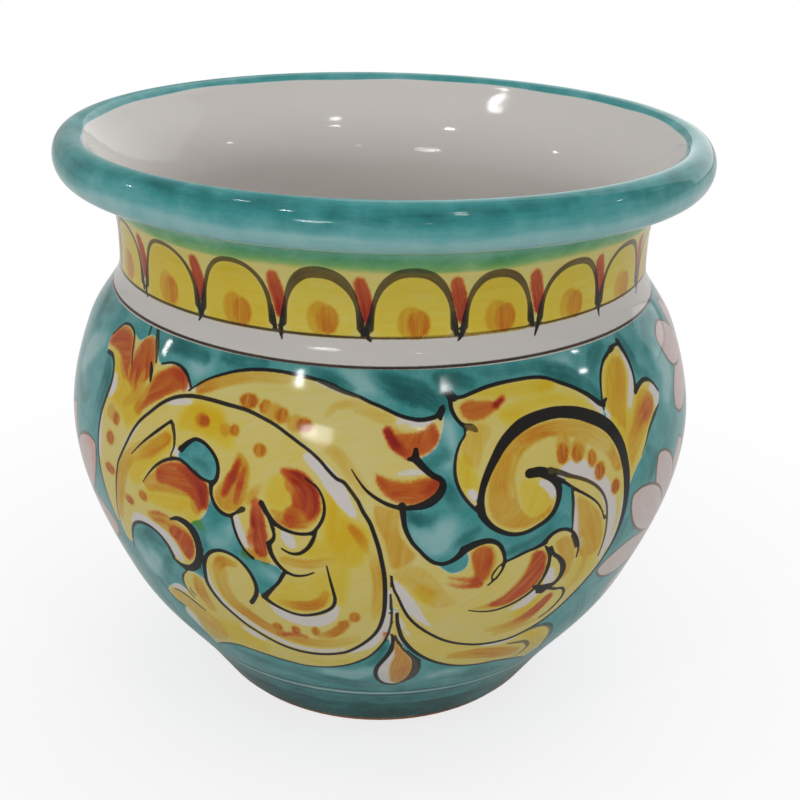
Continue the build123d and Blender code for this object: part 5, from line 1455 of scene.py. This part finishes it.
def all_arches():
    """The seen arches, and the others spread over the rest of the turn with small differences."""
    chance = np.random.default_rng(5)
    arches = list(ARCHES)
    rest = ARCH_COUNT - len(ARCHES)
    start, end = ARCHES[-1][2], ARCHES[0][2] + TURN
    for k in range(1, rest + 1):
        crown = start + (end - start) * k / (rest + 1) + chance.uniform(-1, 1)
        half = ARCH_HALF + chance.uniform(-0.8, 0.8)
        arches.append((crown - half, crown + half, crown + chance.uniform(-1, 1),
            218.6 + chance.uniform(-0.8, 1), chance.uniform(1.8, 3.8)))
    return arches


def arch_path(left, right, crown, high):
    """An arch's outline from foot to foot: shares of its width and rise, moved aside by its crown's lean
    times a sine."""
    across, up = np.array(ARCH_SHARES).T
    lean = crown - (left + right) / 2
    return np.stack([left + (right - left) * across + lean * np.sin(np.pi * across),
        ARCH_FOOT + (high - ARCH_FOOT) * up], 1)


class CACHEPOT_OT_neck(bpy.types.Operator):
    """Paints the neck: yellow arches with orange touches and red darts, under a green edge"""
    bl_idname = "cachepot.neck"
    bl_label = "Painted neck"

    def execute(self, context):
        settings = context.scene.cachepot_glaze
        paths = []
        for *arch, _ in all_arches():
            path = smooth_curve(arch_path(*arch), RAIL_STEP)
            paths += [path + (shift, 0) for shift in (-TURN, 0)]
        verts, faces = drawn_sheet((-HALF_TURN, HALF_TURN), (NECK_LOW_S, NECK_TOP_S), 0.95, paths)
        painting = Painting(*verts.T, TURN)
        paint_neck(painting)
        # The neck's white is painted brighter, to offset the shade that the rim casts on it
        finish_piece("neck_painted", painting, *on_pot(*verts.T), faces, "neck_glaze", "neck_glaze",
            painted_glaze("Painted neck glaze", settings, settings.shade_lifted_white))
        return {"FINISHED"}


class CACHEPOT_OT_white_band(bpy.types.Operator):
    """Builds the white band in the crease between the belly and the neck, with its two lines"""
    bl_idname = "cachepot.white_band"
    bl_label = "White band"

    def execute(self, context):
        settings = context.scene.cachepot_glaze
        verts, faces = lathe_sheet(BELLY_TOP_S, NECK_LOW_S, BAND_GRID)
        painting = Painting(*verts.T, TURN)
        paint_neck(painting)
        paint_level_line(painting, BAND_LINE, 1.0)
        finish_piece("white_band", painting, *on_pot(*verts.T), faces, "white_band_glaze", "white_glaze",
            painted_glaze("White glaze", settings))
        return {"FINISHED"}


class CACHEPOT_OT_rim(bpy.types.Operator):
    """Builds the coloured glaze that wraps the rolled rim"""
    bl_idname = "cachepot.rim"
    bl_label = "Rim"

    def execute(self, context):
        settings = context.scene.cachepot_glaze
        verts, faces = lathe_sheet(NECK_TOP_S - RIM_OVERLAP, INSIDE_TOP_S, RIM_GRID)
        painting = Painting(*verts.T, TURN)
        u, s = verts.T
        painting.flow = np.stack([np.abs(u), s], 1)
        wander = 0.9 * np.sin(4 * u / BELLY_RADIUS + 1) + 0.6 * np.sin(11 * u / BELLY_RADIUS)
        # The paler teal low on the roll is partly a painted reflection
        painting.cover("teal", np.interp(s + wander, RIM_LEVELS, RIM_TEAL_AND_REFLECTION))
        painting.edge["yellow"] = s - 236
        painting.load["yellow"][:] = 0.2 * np.clip((234 - s) / 7, 0, 1)
        chance = np.random.default_rng(21)
        for _ in range(34):
            at, level = chance.uniform(-HALF_TURN, HALF_TURN), chance.uniform(253, CREST_S)
            length = chance.uniform(30, 80)
            path = [(at + length * k / 3, level + chance.uniform(-0.8, 0.8)) for k in range(4)]
            loads = (0, chance.uniform(0.05, 0.34), chance.uniform(0.05, 0.34), 0)
            widths = (2, chance.uniform(3, 5), chance.uniform(3, 5), 1.5)
            painting.stroke("deep", loads, widths, path, blend=5)
        sway = 0.25 * np.sin(6 * u / BELLY_RADIUS) + 0.2 * np.sin(15 * u / BELLY_RADIUS + 2)
        edge = CREST_S + RIM_COLOUR_END + sway
        for pigment in ("teal", "deep"):
            painting.edge[pigment] = np.maximum(painting.edge[pigment], s - edge)
        co, normals = on_pot(u, s)
        first = slice(RIM_GRID[1])
        co[first] -= RIM_SINK * MM * normals[first]
        # The rim's white is painted brighter, like the inside's, against the shade within the pot
        finish_piece("rim_coloured", painting, co, normals, faces, "rim_glaze", "rim_glaze",
            painted_glaze("Rim glaze", settings, settings.shade_lifted_white))
        return {"FINISHED"}


class CACHEPOT_OT_inside(bpy.types.Operator):
    """Builds the white glaze of the inside, down to the floor"""
    bl_idname = "cachepot.inside"
    bl_label = "Inside"

    def execute(self, context):
        settings = context.scene.cachepot_glaze
        verts, faces = lathe_sheet(INSIDE_TOP_S, END_S - 0.5, INSIDE_GRID)
        rows, columns = INSIDE_GRID
        last = np.arange(columns) + (rows - 1) * columns
        caps = np.stack([last, np.roll(last, -1), np.full(columns, rows * columns)], 1)
        painting = Painting(np.append(verts[:, 0], 0.0), np.append(verts[:, 1], END_S), TURN)
        co, normals = on_pot(*painting.q.T)
        normals[-1] = (0, 0, 1)
        # The inside's white is painted brighter, to offset the shade within the walls
        finish_piece("inside_glaze", painting, co, normals, faces.tolist() + caps.tolist(), "inner_glaze",
            "white_glaze", painted_glaze("Inside glaze", settings, settings.shade_lifted_white))
        return {"FINISHED"}


class CACHEPOT_OT_foot(bpy.types.Operator):
    """Builds the coloured glaze of the foot, which rounds in to the bare clay below"""
    bl_idname = "cachepot.foot"
    bl_label = "Foot"

    def execute(self, context):
        settings = context.scene.cachepot_glaze
        verts, faces = lathe_sheet(FOOT_LOW_S, FOOT_TOP_S, FOOT_GRID)
        painting = Painting(*verts.T, TURN)
        painting.cover("teal", 0.95)
        painting.cover("deep", 0.42 + 0.2 * np.sin(7 * verts[:, 0] / BELLY_RADIUS))
        co, normals = on_pot(*verts.T)
        co[: FOOT_GRID[1], :2] *= 1 - FOOT_TUCK_SHARE
        finish_piece("foot_coloured", painting, co, normals, faces, "foot_glaze", "foot_glaze",
            painted_glaze("Foot glaze", settings))
        return {"FINISHED"}


class CACHEPOT_OT_clay(bpy.types.Operator):
    """Gives the thrown clay, which shows only under the pot, its fired colour"""
    bl_idname = "cachepot.clay"
    bl_label = "Bare clay"

    def execute(self, context):
        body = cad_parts["clay_body"]
        body.data.materials.clear()
        body.data.materials.append(terracotta(context.scene.cachepot_glaze))
        return {"FINISHED"}


# The studio

# The camera stands where the photograph was taken, found from the ellipses of the rim and the foot:
# its place in metres, its angles in degrees, its focal length and upward shift as shares of the
# picture's width, and its sensor in millimetres
PICTURE_WIDTH = 800
CAMERA_PLACE = (0.00763, -0.4858, 0.3229)
CAMERA_PITCH = 22.35
CAMERA_ROLL = 1.35
FOCAL_SHARE = 1264.84 / PICTURE_WIDTH
UP_SHIFT = 26.7 / PICTURE_WIDTH
SENSOR = 36.0

# Lamps by direction from the pot: turn to the right of the front, height above the horizon, distance,
# width, height of the face in metres, and power. The last one is a wide panel.
LAMPS = (
    (-21, 14.5, 2.2, 0.44, 0.23, 3.2),
    (-23, 14, 2.1, 0.22, 0.11, 0.5),
    (-35.8, 44.4, 2.2, 0.13, 0.1, 2),
    (30, 45.4, 2.2, 0.14, 0.03, 1),
    (87, 27, 2.2, 0.08, 0.025, 0.5),
    (-94, 25, 2.2, 0.08, 0.025, 0.5),
    (32.6, 53.4, 2.2, 0.13, 0.15, 1.4),
    (-72, 58.2, 2.2, 0.13, 0.15, 1.4),
    (15, 17.4, 2.2, 0.1, 0.04, 0.2),
    (149, 28, 2.2, 2.4, 2.4, 14.5),
)
PANEL_WIDTH = 1
LAMPS_AIM = (0, 0, 0.12)
OVERHEAD = ((0, -0.3, 2.4), 2.4, 4.5)

# Half width of the floor; and round the pot, the distances in metres between which the floor's shadow
# fades, with the shares of plain white at both
FLOOR_HALF = 6
SHADOW_FADE = {1: 0.1, 2: 0.34, 3: 0.76, 4: 1.0}


def add_floor(settings):
    """A level square. The camera sees it as white, apart from the pot's shadow and near the pot."""
    corners = [(-FLOOR_HALF, -FLOOR_HALF, 0), (FLOOR_HALF, -FLOOR_HALF, 0), (FLOOR_HALF, FLOOR_HALF, 0),
        (-FLOOR_HALF, FLOOR_HALF, 0)]
    mesh = bpy.data.meshes.new("floor")
    mesh.from_pydata(corners, [], [(0, 1, 2, 3)])
    floor = link("floor", mesh)
    material, tree, shader = new_material("Studio floor")
    add, calc, _ = nodes_of(tree)
    seen = add("ShaderNodeLightPath").outputs["Is Camera Ray"]
    shade = add("ShaderNodeMapRange", {0: seen, 3: settings.floor, 4: 1.0})
    tree.links.new(shade.outputs[0], shader.inputs["Base Color"])
    shader.inputs["Roughness"].default_value = 1
    shader.inputs["Specular IOR Level"].default_value = 0
    away = add("ShaderNodeVectorMath", {0: add("ShaderNodeTexCoord").outputs["Object"]}, operation="LENGTH")
    fade = add("ShaderNodeMapRange", {0: away.outputs["Value"], **SHADOW_FADE})
    glow = add("ShaderNodeEmission", {0: (*settings.backdrop, 1)})
    share = calc("MULTIPLY", fade.outputs[0], seen)
    mixed = add("ShaderNodeMixShader", {0: share, 1: shader.outputs[0], 2: glow.outputs[0]})
    tree.links.new(mixed.outputs[0], tree.nodes["Material Output"].inputs["Surface"])
    mesh.materials.append(material)
    return floor


def add_room(settings):
    """Even light from all sides, which the camera sees as the plain backdrop."""
    world = bpy.data.worlds.new("Room")
    world.use_nodes = True
    add, calc, _ = nodes_of(world.node_tree)
    back = world.node_tree.nodes["Background"]
    path = add("ShaderNodeLightPath")
    shown = calc("MAXIMUM", path.outputs["Is Camera Ray"], path.outputs["Is Transmission Ray"])
    strength = add("ShaderNodeMapRange", {0: shown, 3: settings.room, 4: 1.0})
    back.inputs["Color"].default_value = (*settings.backdrop, 1)
    world.node_tree.links.new(strength.outputs[0], back.inputs["Strength"])
    bpy.context.scene.world = world


def add_lamp(name, wide, high, power, place):
    """A flat lamp with an oval face, or a square-cornered one if it is as wide as a panel."""
    data = bpy.data.lights.new(name, "AREA")
    data.shape = "ELLIPSE" if wide < PANEL_WIDTH else "RECTANGLE"
    data.size = wide
    data.size_y = high
    data.energy = power
    link(name, data).matrix_world = place


def add_camera():
    """The camera in the place of the photograph's."""
    data = bpy.data.cameras.new("photograph")
    data.sensor_width = SENSOR
    data.lens = SENSOR * FOCAL_SHARE
    data.shift_y = -UP_SHIFT
    camera = link("photograph", data)
    camera.matrix_world = (
        Matrix.Translation(CAMERA_PLACE)
        @ Matrix.Rotation(math.radians(90 - CAMERA_PITCH), 4, "X")
        @ Matrix.Rotation(math.radians(CAMERA_ROLL), 4, "Z")
    )
    bpy.context.scene.camera = camera


class CACHEPOT_OT_studio(bpy.types.Operator):
    """Sets the floor, the room, the lamps and the camera"""
    bl_idname = "cachepot.studio"
    bl_label = "Studio"

    def execute(self, context):
        settings = context.scene.cachepot_studio
        floor = add_floor(settings)
        add_room(settings)
        for k, (turn, rise, distance, *face_and_power) in enumerate(LAMPS):
            a, e = math.radians(turn), math.radians(rise)
            way = Vector((math.sin(a) * math.cos(e), -math.cos(a) * math.cos(e), math.sin(e)))
            aimed = way.to_track_quat("Z", "Y").to_matrix().to_4x4()
            place = Matrix.Translation(Vector(LAMPS_AIM) + way * distance) @ aimed
            add_lamp("lamp_%d" % (k + 1), *face_and_power, place)
        place, wide, power = OVERHEAD
        add_lamp("overhead", wide, wide, power, Matrix.Translation(place))
        add_camera()
        context.scene.view_settings.view_transform = "Standard"
        return {"FINISHED"}


OPERATORS = (
    CACHEPOT_OT_clay, CACHEPOT_OT_belly, CACHEPOT_OT_neck, CACHEPOT_OT_white_band, CACHEPOT_OT_rim,
    CACHEPOT_OT_inside, CACHEPOT_OT_foot, CACHEPOT_OT_studio,
)


class CACHEPOT_PT_panel(bpy.types.Panel):
    """Lists the pieces of the cachepot and their settings"""
    bl_idname = "CACHEPOT_PT_panel"
    bl_label = "Painted cachepot"
    bl_space_type = "VIEW_3D"
    bl_region_type = "UI"
    bl_category = "Cachepot"

    def draw(self, context):
        for settings in (context.scene.cachepot_glaze, context.scene.cachepot_studio):
            for key in settings.__annotations__:
                self.layout.prop(settings, key)
        for operator in OPERATORS:
            self.layout.operator(operator.bl_idname)


CLASSES = (CachepotGlaze, CachepotStudio, *OPERATORS, CACHEPOT_PT_panel)


def register():
    """Makes the operators, the panel and the settings known."""
    for cls in CLASSES:
        bpy.utils.register_class(cls)
    bpy.types.Scene.cachepot_glaze = bpy.props.PointerProperty(type=CachepotGlaze)
    bpy.types.Scene.cachepot_studio = bpy.props.PointerProperty(type=CachepotStudio)


def unregister():
    """Takes back what register did."""
    del bpy.types.Scene.cachepot_studio
    del bpy.types.Scene.cachepot_glaze
    for cls in reversed(CLASSES):
        bpy.utils.unregister_class(cls)


def main():
    """Builds the piece from all operators."""
    register()
    for operator in OPERATORS:
        getattr(bpy.ops.cachepot, operator.bl_idname.split(".")[1])()


if __name__ == "__main__":
    main()
